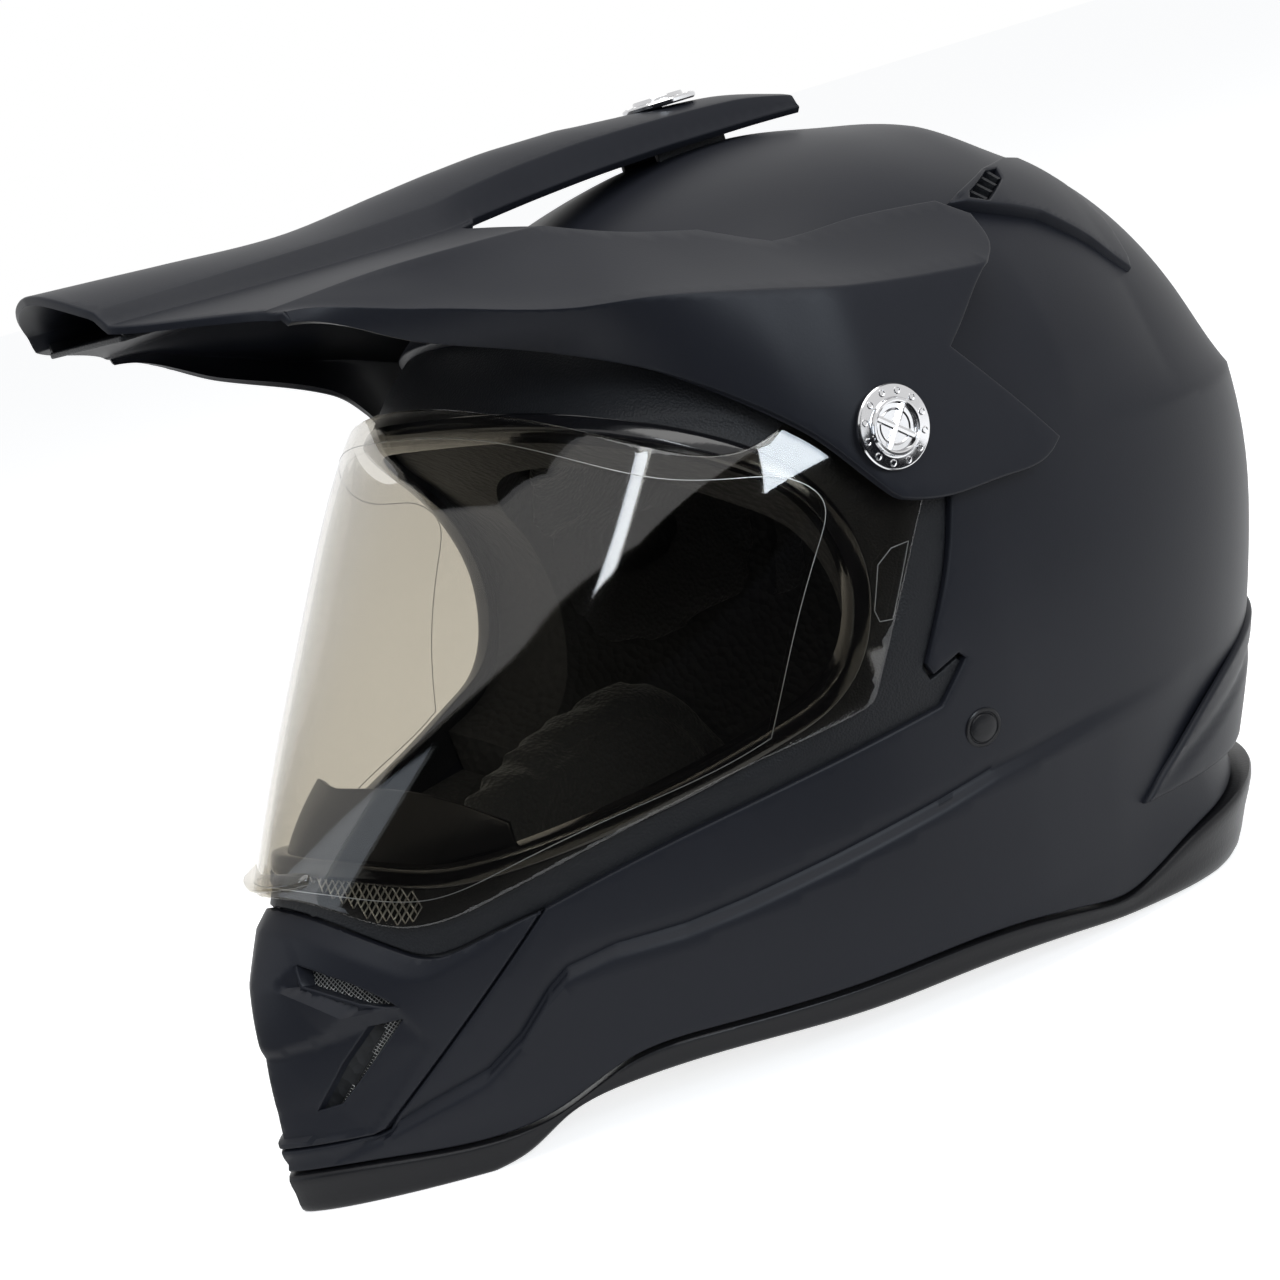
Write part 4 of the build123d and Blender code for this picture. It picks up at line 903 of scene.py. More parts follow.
roll_points, roll_faces = roll_mesh()
piece("neck_trim", roll_points, roll_faces, "helmet", *SOFT_RUBBER)
print("neck roll", len(roll_faces), "faces")

# %% [markdown]
# ## The visor
# The visor is a clear moulding, two millimetres thick, that stands just outside the
# frame and turns on the two side hubs. What the eye sees of it is its edge, its
# reflections and a slight smoke, so the finish mixes a nearly clear Transparent shader
# with a glossy one, which takes over where the sheet is seen at a slant. A refracting
# glass would darken the port behind it for nothing. Layer Weight's Fresnel output turns
# to a full mirror on the sheet's inner face, so the share comes from its Facing output
# by Schlick's formula: 0.04 + 0.96 times facing to the fifth power.

# %% The visor's finish
def clear_finish(name, tint, rough, straight_on=0.04):
    """A nearly clear sheet that mirrors more the more it is seen at a slant."""
    material, tree = new_material(name)
    out = node(tree, "ShaderNodeOutputMaterial")
    clear = node(tree, "ShaderNodeBsdfTransparent", Color=(*tint, 1))
    gloss = node(tree, "ShaderNodeBsdfPrincipled", Metallic=1.0, **{"Base Color": (0.96, 0.97, 1.0, 1)})
    where = node(tree, "ShaderNodeTexCoord")
    smear = node(tree, "ShaderNodeTexNoise", Scale=35.0, Detail=5.0)
    spread = spread_out(tree, rough, rough * 3)
    slant = node(tree, "ShaderNodeLayerWeight", Blend=0.5)
    fifth = node(tree, "ShaderNodeMath", operation="POWER")
    fifth.inputs[1].default_value = 5.0
    share = node(tree, "ShaderNodeMath", operation="MULTIPLY_ADD")
    share.inputs[1].default_value = 1 - straight_on
    share.inputs[2].default_value = straight_on
    mix = node(tree, "ShaderNodeMixShader")
    wave = node(tree, "ShaderNodeTexNoise", Scale=9.0)
    bump = node(tree, "ShaderNodeBump", Strength=1.0, Distance=0.0004)
    wired(tree, (where, "Object", smear, "Vector"), (where, "Object", wave, "Vector"), (wave, 0, bump, "Height"),
          (bump, 0, gloss, "Normal"), (smear, 0, spread, "Value"), (spread, 0, gloss, "Roughness"),
          (slant, "Facing", fifth, 0), (fifth, 0, share, 0), (share, 0, mix, 0), (clear, 0, mix, 1),
          (gloss, 0, mix, 2), (mix, 0, out, "Surface"))
    return material


VISOR_CLEAR = "visor_clear", clear_finish("visor_clear", (0.785, 0.765, 0.72), 0.02)

# %% The visor and its lift tab
VISOR = [(-1.10, 0.36), (-0.96, 0.362), (-0.888, 0.355), (-0.83, 0.324), (-0.786, 0.303), (-0.738, 0.298),
         (-0.66, 0.309), (-0.497, 0.34), (-0.267, 0.374), (-0.125, 0.388), (-0.105, 0.393), (-0.091, 0.408),
         (-0.048, 0.470), (0.005, 0.538), (0.043, 0.583), (0.075, 0.617), (0.10, 0.652), (0.104, 0.689),
         (0.08, 0.723), (0.037, 0.746), (-0.016, 0.75), (-0.064, 0.735), (-0.107, 0.712), (-0.16, 0.697),
         (-0.219, 0.699), (-0.273, 0.72), (-0.364, 0.777), (-0.406, 0.806), (-0.43, 0.824), (-0.6, 0.835),
         (-1.10, 0.84)]
HUB_HOLE = 9.6
visor_path = skin_path(VISOR, out=VISOR_OUT, step=1.5)
spin = np.linspace(0, 2 * HALF, 49)[:-1]
hub_ring = skin_spots(np.stack([HUB_HOLE * np.cos(spin), PIVOT_HEIGHT + HUB_HOLE * np.sin(spin)], -1), VISOR_OUT)[0]
visor_loop = np.vstack([visor_path, middle_line(0, visor_path[-1, 1], visor_path[0, 1])])
visor = skin_panel("visor", [visor_loop, hub_ring], VISOR_OUT, VISOR_WALL, "visor_shield", *VISOR_CLEAR, step=2.6,
                   rounding=0.9, gap=0.0)
print("visor", size_of(visor))

# %% [markdown]
# An anti-fog film lies on the visor. All that shows of it is its edge, a hair-thin
# raised line, and a small tab's outline in the visor's rear corner.

# %% The film's edge
FILM = [(-1.10, 0.80), (-0.60, 0.795), (-0.45, 0.785), (-0.38, 0.742), (-0.29, 0.69), (-0.20, 0.668), (-0.135, 0.65),
        (-0.105, 0.62), (-0.129, 0.578), (-0.21, 0.479), (-0.262, 0.394), (-0.30, 0.386), (-0.49, 0.362),
        (-0.64, 0.338), (-0.74, 0.326), (-0.84, 0.352), (-0.95, 0.38), (-1.10, 0.38)]
FILM_TAB = [(0.5, 145.0), (-5, 144.8), (-10, 141.5), (-14.2, 129.5), (-13.4, 126), (-9.6, 125.4)]
FILM_EDGE = [(-0.13, -0.08), (0.13, -0.08), (0.09, 0.12), (-0.09, 0.12)]
carried("film_edge", skin_path(FILM, corners=(10,), out=VISOR_OUT, step=1.5), FILM_EDGE, VISOR_OUT, "visor_shield",
        "visor_clear", SILVER[1], ())
carried("film_tab", closed_loop(FILM_TAB, out=VISOR_OUT), FILM_EDGE, VISOR_OUT, "visor_shield", "visor_clear",
        SILVER[1], (), closed=True)


TAB_HALF, TAB_FOOT, TAB_ROWS = 20, 97.5, 41


def tab_mesh():
    """A shelf across the visor's lower edge: rows from left to right times a rounded
    section (forward of the visor, up from the tab's foot)."""
    across = np.linspace(-TAB_HALF, TAB_HALF, TAB_ROWS)
    foot = np.full_like(across, TAB_FOOT)
    climb = np.arcsin(foot / CROWN)
    base = np.abs(across)
    share = np.linspace(0, 0.2, 200)
    line = skin(np.stack([share, np.full_like(share, climb[0])], -1), VISOR_OUT)
    back = np.interp(base, line[:, 0], line[:, 1])
    taper = np.sqrt(np.clip(1 - (across / (TAB_HALF + 0.2)) ** 6, 0.02, 1))
    section = rounded_profile([(1.0, -2.4), (-4.2, -1.2), (-4.6, 0.9), (1.0, 3.0)], [0.3, 1.0, 0.9, 0.5])
    x = np.broadcast_to(across[:, None], (TAB_ROWS, len(section)))
    y = back[:, None] + section[None, :, 0] * taper[:, None]
    z = foot[:, None] + section[None, :, 1] * (0.5 + 0.5 * taper[:, None])
    points = np.stack([x, y, z], -1).reshape(-1, 3)
    n = len(section)
    ends = [list(range(n))[::-1], list(range(len(points) - n, len(points)))]
    return points, ring_faces(TAB_ROWS, n).tolist() + ends


def facing_out(points, faces):
    """The faces turned so that the closed shape's volume is positive."""
    points = np.asarray(points, float)
    volume = sum(float(np.dot(points[f[0]], np.cross(points[f[i]], points[f[i + 1]])))
                 for f in faces for i in range(1, len(f) - 1))
    return faces if volume > 0 else [list(reversed(f)) for f in faces]


tab_points, tab_faces = tab_mesh()
piece("visor_tab", tab_points, facing_out(tab_points, tab_faces), "visor_shield", *VISOR_CLEAR)

# %% [markdown]
# ## Screws
# Two plated screws hold the visor and the peak at the sides and a third holds the
# peak's arm on the crown. Each is turned, so it is a half section carried round an
# axis: a flat rim, a raised ring and a sunken floor. The cross in the floor and the
# dozen dimples round the rim are small closed pieces of the same mesh.

# %% A turned screw head
def turned_mesh(section, steps=72):
    """A closed surface: each section point (radius, height) carried round the axis."""
    section = np.asarray(section, float)
    angle = np.linspace(0, 2 * HALF, steps, endpoint=False)
    inner = section[1:-1]
    rings = np.stack([inner[None, :, 0] * np.cos(angle)[:, None], inner[None, :, 0] * np.sin(angle)[:, None],
                      np.broadcast_to(inner[None, :, 1], (steps, len(inner)))], -1).reshape(-1, 3)
    n = len(inner)
    points = np.vstack([rings, [(0, 0, section[0, 1]), (0, 0, section[-1, 1])]])
    faces = []
    for i in range(steps):
        j = (i + 1) % steps
        faces += [[i * n + k, j * n + k, j * n + k + 1, i * n + k + 1] for k in range(n - 1)]
        faces += [[steps * n, j * n, i * n], [steps * n + 1, i * n + n - 1, j * n + n - 1]]
    return points, facing_out(points, faces)


def joined(parts):
    """Several closed meshes as one list of points and one of faces."""
    points, faces, start = [], [], 0
    for p, f in parts:
        points.append(np.asarray(p, float))
        faces += [[start + i for i in face] for face in f]
        start += len(p)
    return np.vstack(points), faces


def bar_mesh(length, width, low, high, turn, crown=0.35):
    """A long bar with a ridge along its top."""
    w, l = width / 2, length / 2
    p = np.array([(-l, -w, low), (l, -w, low), (l, w, low), (-l, w, low), (-l, -w, high), (l, -w, high), (l, w, high),
                  (-l, w, high), (-l, 0, high + crown), (l, 0, high + crown)])
    c, s = math.cos(turn), math.sin(turn)
    p = np.stack([p[:, 0] * c - p[:, 1] * s, p[:, 0] * s + p[:, 1] * c, p[:, 2]], -1)
    f = [[0, 3, 2, 1], [0, 1, 5, 4], [2, 3, 7, 6], [4, 5, 9, 8], [7, 8, 9, 6], [1, 2, 6, 9, 5], [3, 0, 4, 8, 7]]
    return p, facing_out(p, f)


def dimple_mesh(radius, place, top, steps=12):
    """A small cup sunk in the rim: a raised bead round a dark hollow."""
    section = [(0, top - 0.5), (radius * 0.5, top - 0.45), (radius * 0.8, top + 0.02), (radius, top + 0.16),
               (radius * 1.25, top + 0.10),
               (radius * 1.4, top - 0.15), (radius * 1.4, top - 0.7), (0, top - 0.7)]
    p, f = turned_mesh(section, steps)
    return p + (place[0], place[1], 0), f


HEAD = [(0, -0.2), (11.2, -0.2), (11.9, 0.3), (12.0, 1.2), (11.7, 1.65), (11.2, 1.8), (8.7, 1.8), (8.3, 2.0),
        (8.1, 2.9), (7.9, 3.2), (7.3, 3.25), (6.9, 3.0), (6.7, 2.0), (6.5, 1.75), (5.2, 1.7), (4.9, 1.95),
        (4.6, 1.7), (0, 1.65)]
RIM_DIMPLES = 12


def screw_head():
    ring = [dimple_mesh(0.85, (10.0 * math.cos(a), 10.0 * math.sin(a)), 1.8)
            for a in np.linspace(0, 2 * HALF, RIM_DIMPLES, endpoint=False) + 0.13]
    bars = [bar_mesh(13.4, 1.5, 1.2, 2.5, turn) for turn in (HALF / 4 + 0.12, 3 * HALF / 4 + 0.12)]
    return joined([turned_mesh(HEAD)] + bars + ring)


head_points, head_faces = screw_head()


def placed(points, origin, along):
    """Points turned so that their Z axis lies along the given direction."""
    turn = np.array(Vector((0, 0, 1)).rotation_difference(Vector(along)).to_matrix())
    return points @ turn.T + np.asarray(origin)


def shank(radius, length):
    return turned_mesh([(0, -length), (radius * 0.8, -length), (radius, 0.2 * radius - length), (radius, 0), (0, 0)],
                       24)


WING_FACE = 134.2
whole = joined([(head_points, head_faces), shank(2.9, 13.9)])
for side, hand in SIDES:
    points = placed(whole[0], (hand * (WING_FACE + 0.3), 0, PIVOT_HEIGHT), (hand, 0, 0))
    piece("side_screw_" + side, points, whole[1], "helmet", *CHROME, smooth=30)
TOP_SCREW = (0, 41.0, 279.3)
whole = joined([(head_points, head_faces), shank(2.4, 13.0)])
piece("top_screw", placed(whole[0], TOP_SCREW, (0, 0, 1)), whole[1], "peak_assembly", *CHROME, smooth=30)
print("three screws,", len(head_faces), "faces a head")

# %% [markdown]
# ## The peak
# The peak is a folded moulding: a crowned plateau in the middle with a short wall on each side, a valley, a ridge, a
# falling face and a side skirt that widens into the wings which the side screws hold. Its section is five folds on
# each side of the middle, and each fold runs from the tip to the back through a few listed stations.
# A curve that never overshoots its points carries the folds, because a natural spline
# would wave between stations that are meant to run straight.

# %% The peak's folds
STATIONS = np.array([-0.97, -0.80, -0.73, -0.535, -0.332, -0.24, -0.107, 0.0, 0.043, 0.16, 0.30, 0.49]) * REACH
CROWN_LINE = np.array([1.06, 1.053, 1.05, 1.043, 1.055, 1.061, 1.066, 1.066, 1.064, 1.059, 1.053, 1.023]) * CROWN
FOLD_OUT = np.array([
    (0.244, 0.232, 0.228, 0.213, 0.189, 0.173, 0.157, 0.157, 0.157, 0.15, 0.138, 0.118),
    (0.264, 0.262, 0.262, 0.256, 0.240, 0.205, 0.180, 0.178, 0.176, 0.168, 0.154, 0.13),
    (0.52, 0.52, 0.52, 0.52, 0.488, 0.48, 0.472, 0.472, 0.488, 0.59, 0.669, 0.669),
    (0.559, 0.559, 0.559, 0.638, 0.756, 0.835, 0.945, 1.020, 1.028, 1.039, 1.039, 1.039),
    (0.567, 0.567, 0.567, 0.591, 0.65, 0.77, 0.984, 1.063, 1.067, 1.067, 1.067, 1.067),
]).T * HALF_WIDTH
FOLD_UP = np.array([
    (1.026, 1.023, 1.023, 1.023, 1.027, 1.034, 1.042, 1.045, 1.045, 1.044, 1.04, 1.017),
    (1.008, 1.004, 1.002, 0.998, 0.996, 1.000, 1.006, 1.010, 1.011, 1.013, 1.013, 1.011),
    (0.975, 0.975, 0.976, 0.981, 0.977, 0.973, 0.964, 0.962, 0.962, 0.962, 0.947, 0.947),
    (0.969, 0.969, 0.97, 0.932, 0.886, 0.875, 0.85, 0.828, 0.822, 0.809, 0.799, 0.799),
    (0.957, 0.957, 0.958, 0.896, 0.837, 0.795, 0.695, 0.590, 0.578, 0.570, 0.566, 0.566),
]).T * CROWN
PEAK_WALL = 2.6
FOLD_SPOTS = np.array([0, 30, 37, 66, 102, 150], float)
FOLD_ROUND = 0.5
FACE_SWELL = np.array([0, 0, 0, -2.2, 1.4])
FULL_SWELL_WIDTH = 30.0


def steady_curve(places, values):
    """Cubic through the points whose slope at each is the harmonic mean of the slopes on
    either side, or nought where they differ in sign, so it never overshoots."""
    places, values = np.asarray(places, float), np.asarray(values, float)
    gap = np.diff(places)
    slope = (np.diff(values, axis=0).T / gap).T
    a, b = slope[:-1], slope[1:]
    inner = np.where(a * b > 0, 2 * a * b / np.where(a * b > 0, a + b, 1), 0)
    lean = np.concatenate([slope[:1], inner, slope[-1:]])

    def at(where):
        where = np.clip(where, places[0], places[-1])
        k = np.clip(np.searchsorted(places, where) - 1, 0, len(places) - 2)
        h = gap[k]
        t = (where - places[k]) / h
        if values.ndim > 1:
            h, t = h[..., None], t[..., None]
        return ((2 * t**3 - 3 * t**2 + 1) * values[k] + (t**3 - 2 * t**2 + t) * h * lean[k]
                + (3 * t**2 - 2 * t**3) * values[k + 1] + (t**3 - t**2) * h * lean[k + 1])

    return at


crown_at, out_at, up_at = (steady_curve(STATIONS, v) for v in (CROWN_LINE, FOLD_OUT, FOLD_UP))


def folds_at(back):
    """The six folds (out, up) of the left half at each place back."""
    crown = crown_at(back)
    out = np.concatenate([np.zeros_like(crown)[..., None], out_at(back)], -1)
    up = np.concatenate([crown[..., None], up_at(back)], -1)
    return np.stack([out, up], -1)


def folds_inside(back):
    """The same folds a wall further in: each is moved along the mitre of its two sides."""
    fold = folds_at(back)
    side = unit(np.diff(fold, axis=-2))
    first = np.concatenate([np.broadcast_to([1.0, 0.0], side[..., :1, :].shape), side], -2)
    last = np.concatenate([side, side[..., -1:, :]], -2)
    mitre = np.stack([first[..., 1] + last[..., 1], -first[..., 0] - last[..., 0]], -1)
    return fold + mitre * (PEAK_WALL / (1 + (first * last).sum(-1)))[..., None]


def on_folds(folds, spots, crown_bend):
    """The point at a spot (way across, back): straight between two folds, rounded by a
    mean over a short window, with the plateau's crown bent down as a power of the way
    across."""
    across = np.abs(spots[..., 0])
    total = 0
    for shift in np.linspace(-FOLD_ROUND, FOLD_ROUND, 7):
        place = np.abs(across + shift)
        k = np.clip(np.searchsorted(FOLD_SPOTS, place) - 1, 0, len(FOLD_SPOTS) - 2)
        t = (place - FOLD_SPOTS[k]) / (FOLD_SPOTS[k + 1] - FOLD_SPOTS[k])
        a = np.take_along_axis(folds, k[..., None, None], -2)[..., 0, :]
        b = np.take_along_axis(folds, (k + 1)[..., None, None], -2)[..., 0, :]
        point = a + (b - a) * t[..., None]
        bent = a[..., 1] + (b[..., 1] - a[..., 1]) * np.clip(t, 0, 1) ** crown_bend
        lean, wide = unit(b - a), np.linalg.norm(b - a, axis=-1)
        swell = FACE_SWELL[k] * np.clip(wide / FULL_SWELL_WIDTH, 0, 1) * 4 * t * (1 - t)
        point = np.stack([point[..., 0] - lean[..., 1] * swell,
                          np.where(k == 0, bent, point[..., 1] + lean[..., 0] * swell)], -1)
        total = total + point / 7
    x = total[..., 0] * np.where(spots[..., 0] < 0, -1, 1)
    x = np.where(across < FOLD_ROUND, x * across / FOLD_ROUND, x)
    return np.stack([x, spots[..., 1], total[..., 1]], -1)


CROWN_BEND = 1.9


def peak_top(spots):
    """The peak's outer face."""
    return on_folds(folds_at(spots[..., 1]), spots, CROWN_BEND)


def peak_under(spots):
    """The same folds drawn inward by the wall."""
    return on_folds(folds_inside(spots[..., 1]), spots, CROWN_BEND)


# %% [markdown]
# The peak's outlines are drawn where they show best: the tip and the openings beside
# the centre arm in plan, the wings in the side view. Each is turned into spots across
# the folds by looking up its place out, or its height, among the folds at that place.

# %% The peak's outlines
def from_plan(points, corners=(), step=1.6):
    """Spots of plan points (out, back): the way across where the folds reach that far."""
    plan = drawn(np.asarray(points, float) * (HALF_WIDTH, REACH), corners, step)
    folds = folds_at(plan[:, 1])
    spots = [np.interp(x, f[:, 0], FOLD_SPOTS) for (x, _), f in zip(plan, folds)]
    return np.stack([spots, plan[:, 1]], -1)


def from_side(points, corners=(), step=1.6):
    """Spots of side-view points (back, up) on the faces outside the ridge."""
    side = drawn(np.asarray(points, float), corners, step)
    folds = folds_at(side[:, 0])
    spots = [np.interp(-z, -f[3:, 1], FOLD_SPOTS[3:]) for (_, z), f in zip(side, folds)]
    return np.stack([spots, side[:, 0]], -1)


TIP = [(0.0, -0.95), (0.157, -0.936), (0.283, -0.893), (0.402, -0.802), (0.500, -0.745), (0.545, -0.726),
       (0.566, -0.715)]
WING = [(-22, 184), (-19, 177), (-12.5, 165), (-3, 158.5), (13, 154), (33, 153.2), (50, 154.6), (54.5, 158),
        (47, 168), (27, 193), (34, 199), (48, 211), (58, 217.5), (62.5, 226), (57, 232.5)]
OPENING_OUTER = [(0.834, 0.303), (0.819, 0.235), (0.748, 0.032), (0.622, -0.037), (0.472, -0.257), (0.30, -0.30)]
OPENING_INNER = [(0.30, -0.30), (0.262, -0.30), (0.235, -0.27)]
FOLD_BESIDE = (-0.5, -0.17, 0.17, 0.5)
tip = from_plan(TIP)
wing = from_side(WING, corners=(7, 9, 13))
opening = np.vstack([from_plan(OPENING_OUTER, corners=(2, 3, 4)), from_plan(OPENING_INNER)[1:]])
ARM_END = 80.5
arm_back = np.arange(opening[-1, 1] + 2.0, ARM_END - 0.5, 1.6)
arm_side = np.stack([np.full_like(arm_back, FOLD_SPOTS[2]), arm_back], -1)
arm_end = np.stack([np.linspace(FOLD_SPOTS[2], 0, 24), np.full(24, ARM_END)], -1)
skirt_back = np.arange(tip[-1, 1] + 1.6, wing[0, 1] - 1.0, 1.6)
skirt = np.stack([np.full_like(skirt_back, FOLD_SPOTS[5]), skirt_back], -1)
mid_back = np.arange(arm_end[-1, 1] - 2.5, tip[0, 1] + 1.5, -2.5)
peak_loop = np.vstack([tip[:-1], [[FOLD_SPOTS[5], tip[-1, 1]]], skirt, wing, opening[1:], arm_side, arm_end,
                       np.stack([np.zeros_like(mid_back), mid_back], -1)])
fold_back = np.arange(-177, ARM_END, 1.8)
fold_rows = [np.stack([np.full_like(fold_back, FOLD_SPOTS[k] + d), fold_back], -1)
             for k in range(1, 5) for d in FOLD_BESIDE]
points, faces, middle = panel_mesh(peak_top, lambda s: s, lambda f: f, [peak_loop], PEAK_WALL, 3.0, 0.8, 0.0,
                                   folds=np.vstack(fold_rows), under=peak_under)
points, faces = mirrored(points, faces, middle)
peak = piece("peak", points, faces, "peak_assembly", *SHELL_BLACK, smooth=50)
print("peak", size_of(peak), len(faces), "faces")

# %% [markdown]
# ## What holds the peak
# The arm rests on a pressed bracket riveted to the crown, and its screw passes a slot
# there into a nut, so that the peak can be set up or down. Under the peak's front a
# flat panel and two side walls make the duct whose mouth shows between the thick
# corners of the tip.

# %% The duct under the peak
DUCT_HALF = 31.6
DUCT_FRONT, DUCT_BACK = -165.6, -70.4
DUCT_TOP = 262.1


def plate_mesh(outline, low, high, rounding=0.5):
    """An upright prism over a plan outline with its edges rounded in three steps."""
    outline = np.asarray(outline, float)
    if np.sum(outline[:, 0] * np.roll(outline[:, 1], -1) - np.roll(outline[:, 0], -1) * outline[:, 1]) < 0:
        outline = outline[::-1]
    edge = unit(np.roll(outline, -1, axis=0) - outline)
    normal = np.stack([edge[:, 1], -edge[:, 0]], -1)
    before = np.roll(normal, 1, axis=0)
    mitre = (normal + before) / (1 + (normal * before).sum(-1))[:, None]
    turns = np.linspace(0, QUARTER, ROUND_STEPS + 1)
    rings = [(rounding * (1 - math.sin(t)), low + rounding * (1 - math.cos(t))) for t in turns]
    rings += [(rounding * (1 - math.cos(t)), high - rounding * (1 - math.sin(t))) for t in turns]
    points = np.vstack([np.column_stack([outline - mitre * inset, np.full(len(outline), z)]) for inset, z in rings])
    n = len(outline)
    k = np.arange(n)
    faces = [list(range(n))[::-1], list(range(n * (len(rings) - 1), n * len(rings)))]
    for r in range(len(rings) - 1):
        faces += np.stack([r * n + k, r * n + (k + 1) % n, (r + 1) * n + (k + 1) % n, (r + 1) * n + k], 1).tolist()
    return points, faces


def rectangle(half_x, y_low, y_high, corner=2.0, steps=4):
    """A rounded rectangle in plan, symmetric about the middle plane."""
    arc = np.linspace(0, QUARTER, steps + 1)
    spots = []
    for turn, cx, cy in ((0, half_x, y_high), (1, -half_x, y_high), (2, -half_x, y_low), (3, half_x, y_low)):
        x0, y0 = cx - math.copysign(corner, cx), cy - corner * (1 if cy == y_high else -1)
        spots += [(x0 + corner * math.cos(a + turn * QUARTER), y0 + corner * math.sin(a + turn * QUARTER))
                  for a in arc]
    return spots


def duct_mesh():
    """The duct's floor, and a wall up each side that stops short of the peak."""
    parts = [plate_mesh(rectangle(DUCT_HALF, DUCT_FRONT, DUCT_BACK), DUCT_TOP - 1.8, DUCT_TOP)]
    for hand in (-1, 1):
        back = np.linspace(DUCT_FRONT + 1, DUCT_BACK - 1, 40)
        ceiling = np.array([np.interp(DUCT_HALF - 1.0, f[:, 0], f[:, 1]) for f in folds_inside(back)]) - 0.3
        inner = hand * (DUCT_HALF - 1.6)
        outer = hand * (DUCT_HALF - 0.1)
        points = np.vstack([np.column_stack([np.full_like(back, x), back, z]) for x, z in
                            ((inner, np.full_like(back, DUCT_TOP - 0.5)), (outer, np.full_like(back, DUCT_TOP - 0.5)),
                             (outer, ceiling), (inner, ceiling))])
        n = len(back)
        k = np.arange(n - 1)
        faces = [f for r in range(4) for f in
                 np.stack([r * n + k, r * n + k + 1, (r + 1) % 4 * n + k + 1, (r + 1) % 4 * n + k], 1).tolist()]
        faces += [[0, n, 2 * n, 3 * n], [n - 1, 4 * n - 1, 3 * n - 1, 2 * n - 1]]
        parts.append((points, facing_out(points, faces)))
    return joined(parts)


points, faces = duct_mesh()
piece("peak_duct", points, faces, "peak_assembly", *MOULDED_BLACK, smooth=35)

# %% [markdown]
# ## Vents on the crown
# Each top vent is a scoop moulded over the shell: a raised patch of the skin that rises
# from a soft foot to a flat face, with its mouth in front and a row of small ribs in
# the dark slot. The patch is cut along its drawn outline as the shell is.

# %% The scoops
TOP_VENT = [(64, 227.5), (71, 229), (88, 232.5), (106, 233.5), (118, 232), (128, 221), (134, 209), (130, 197),
            (127, 194.2), (112, 206), (95, 216.5), (79, 222)]
SLOT = [(72.0, 226.2), (74.0, 227.8), (88.5, 231.6), (94.5, 231.2), (91.5, 228.2), (77.5, 223.8)]


def scoop_relief(back, height):
    """The scoop stands up at once behind its front edge, falls away toward its tail and
    follows the shell's own folds."""
    front = np.clip((back - 63) / 6, 0, 1)
    tail = np.clip((134 - back) / 50, 0, 1)
    return 3.2 * (0.5 + 0.5 * front) * (0.3 + 0.7 * tail) + rear_fold(back, height)


vent_loop = closed_loop(TOP_VENT, out=1.0)
slot_loop = closed_loop(SLOT, out=1.0)


def vent_under(spots):
    """The scoop's foot, sunk a little into the shell."""
    point = skin(spots, 0.0)
    return skin(spots, rear_fold(point[..., 1], point[..., 2]) - 0.4)


to_flat, from_flat = skin_flat(0.0)
points, faces, middle = panel_mesh(relieved(0.0, scoop_relief), to_flat, from_flat, [vent_loop, slot_loop], 3.0,
                                   2.2, 0.7, 0.0, under=vent_under)
on_both("top_vent", points, faces, "helmet", *SHELL_BLACK)


RIBS, RIB_HALF, RIB_FOOT, RIB_TOP = 4, 0.55, -1.5, 2.2
BLOCK_FACES = [[0, 3, 2, 1], [4, 5, 6, 7], [0, 1, 5, 4], [1, 2, 6, 5], [2, 3, 7, 6], [3, 0, 4, 7]]


def rib_set():
    """Small upright ribs across the slot: each is a thin block between two lines on the
    skin, leaning with the slot."""
    parts, way = [], np.array([0, RIB_HALF, 0])
    for t in np.linspace(0.08, 0.92, RIBS):
        ends = np.array([(77.0 + 15.0 * t, 223.6 + 4.4 * t), (73.5 + 17.0 * t, 227.8 + 4.0 * t)])
        spots = skin_spots(ends, 0.0)[0]
        block = np.array([end + way * turn for level in (RIB_FOOT, RIB_TOP)
                          for end, turns in zip(skin(spots, level), ((-1, 1), (1, -1))) for turn in turns])
        parts.append((block, facing_out(block, BLOCK_FACES)))
    return joined(parts)


on_both("top_vent_ribs", *rib_set(), "helmet", *MOULDED_BLACK, stands=False)

# %% [markdown]
# ## Exhaust panel
# The raised panel low on the back is one more patch of the skin, two millimetres proud,
# with a blunt point forward on each side and a groove along its middle.

# %% The rear panel
REAR_PANEL = [(1.10, 0.285), (0.93, 0.282), (0.80, 0.27), (0.588, 0.225), (0.38, 0.14), (0.52, 0.134), (0.658, 0.13),
              (0.80, 0.135), (0.93, 0.15), (1.10, 0.18)]


def panel_relief(back, height):
    """The panel stands 1.9 mm proud, with a soft groove along its middle."""
    middle = 38 + 0.30 * np.clip(back - 71, 0, None)
    edge = np.clip((back - 76) / 14, 0, 1)
    return 1.9 - 1.2 * edge * np.exp(-((height - middle) / 2.2) ** 2)


panel_path = skin_path(REAR_PANEL, corners=(4,), out=1.9)
rear_loop = np.vstack([panel_path, middle_line(1, panel_path[-1, 1], panel_path[0, 1])])
rear_panel = skin_panel("rear_panel", [rear_loop], 0.0, 2.0, "helmet", *SHELL_BLACK,
                        step=2.6, rounding=1.2, gap=0.0, middle_share=1.0, relief=panel_relief)
print("rear panel", size_of(rear_panel))

# %% [markdown]
# ## Grilles on the sill and the breath guard
# Two small leaning grilles stand on the frame's sill in front, and a soft rubber guard
# stands inside the port to turn the breath away from the visor.

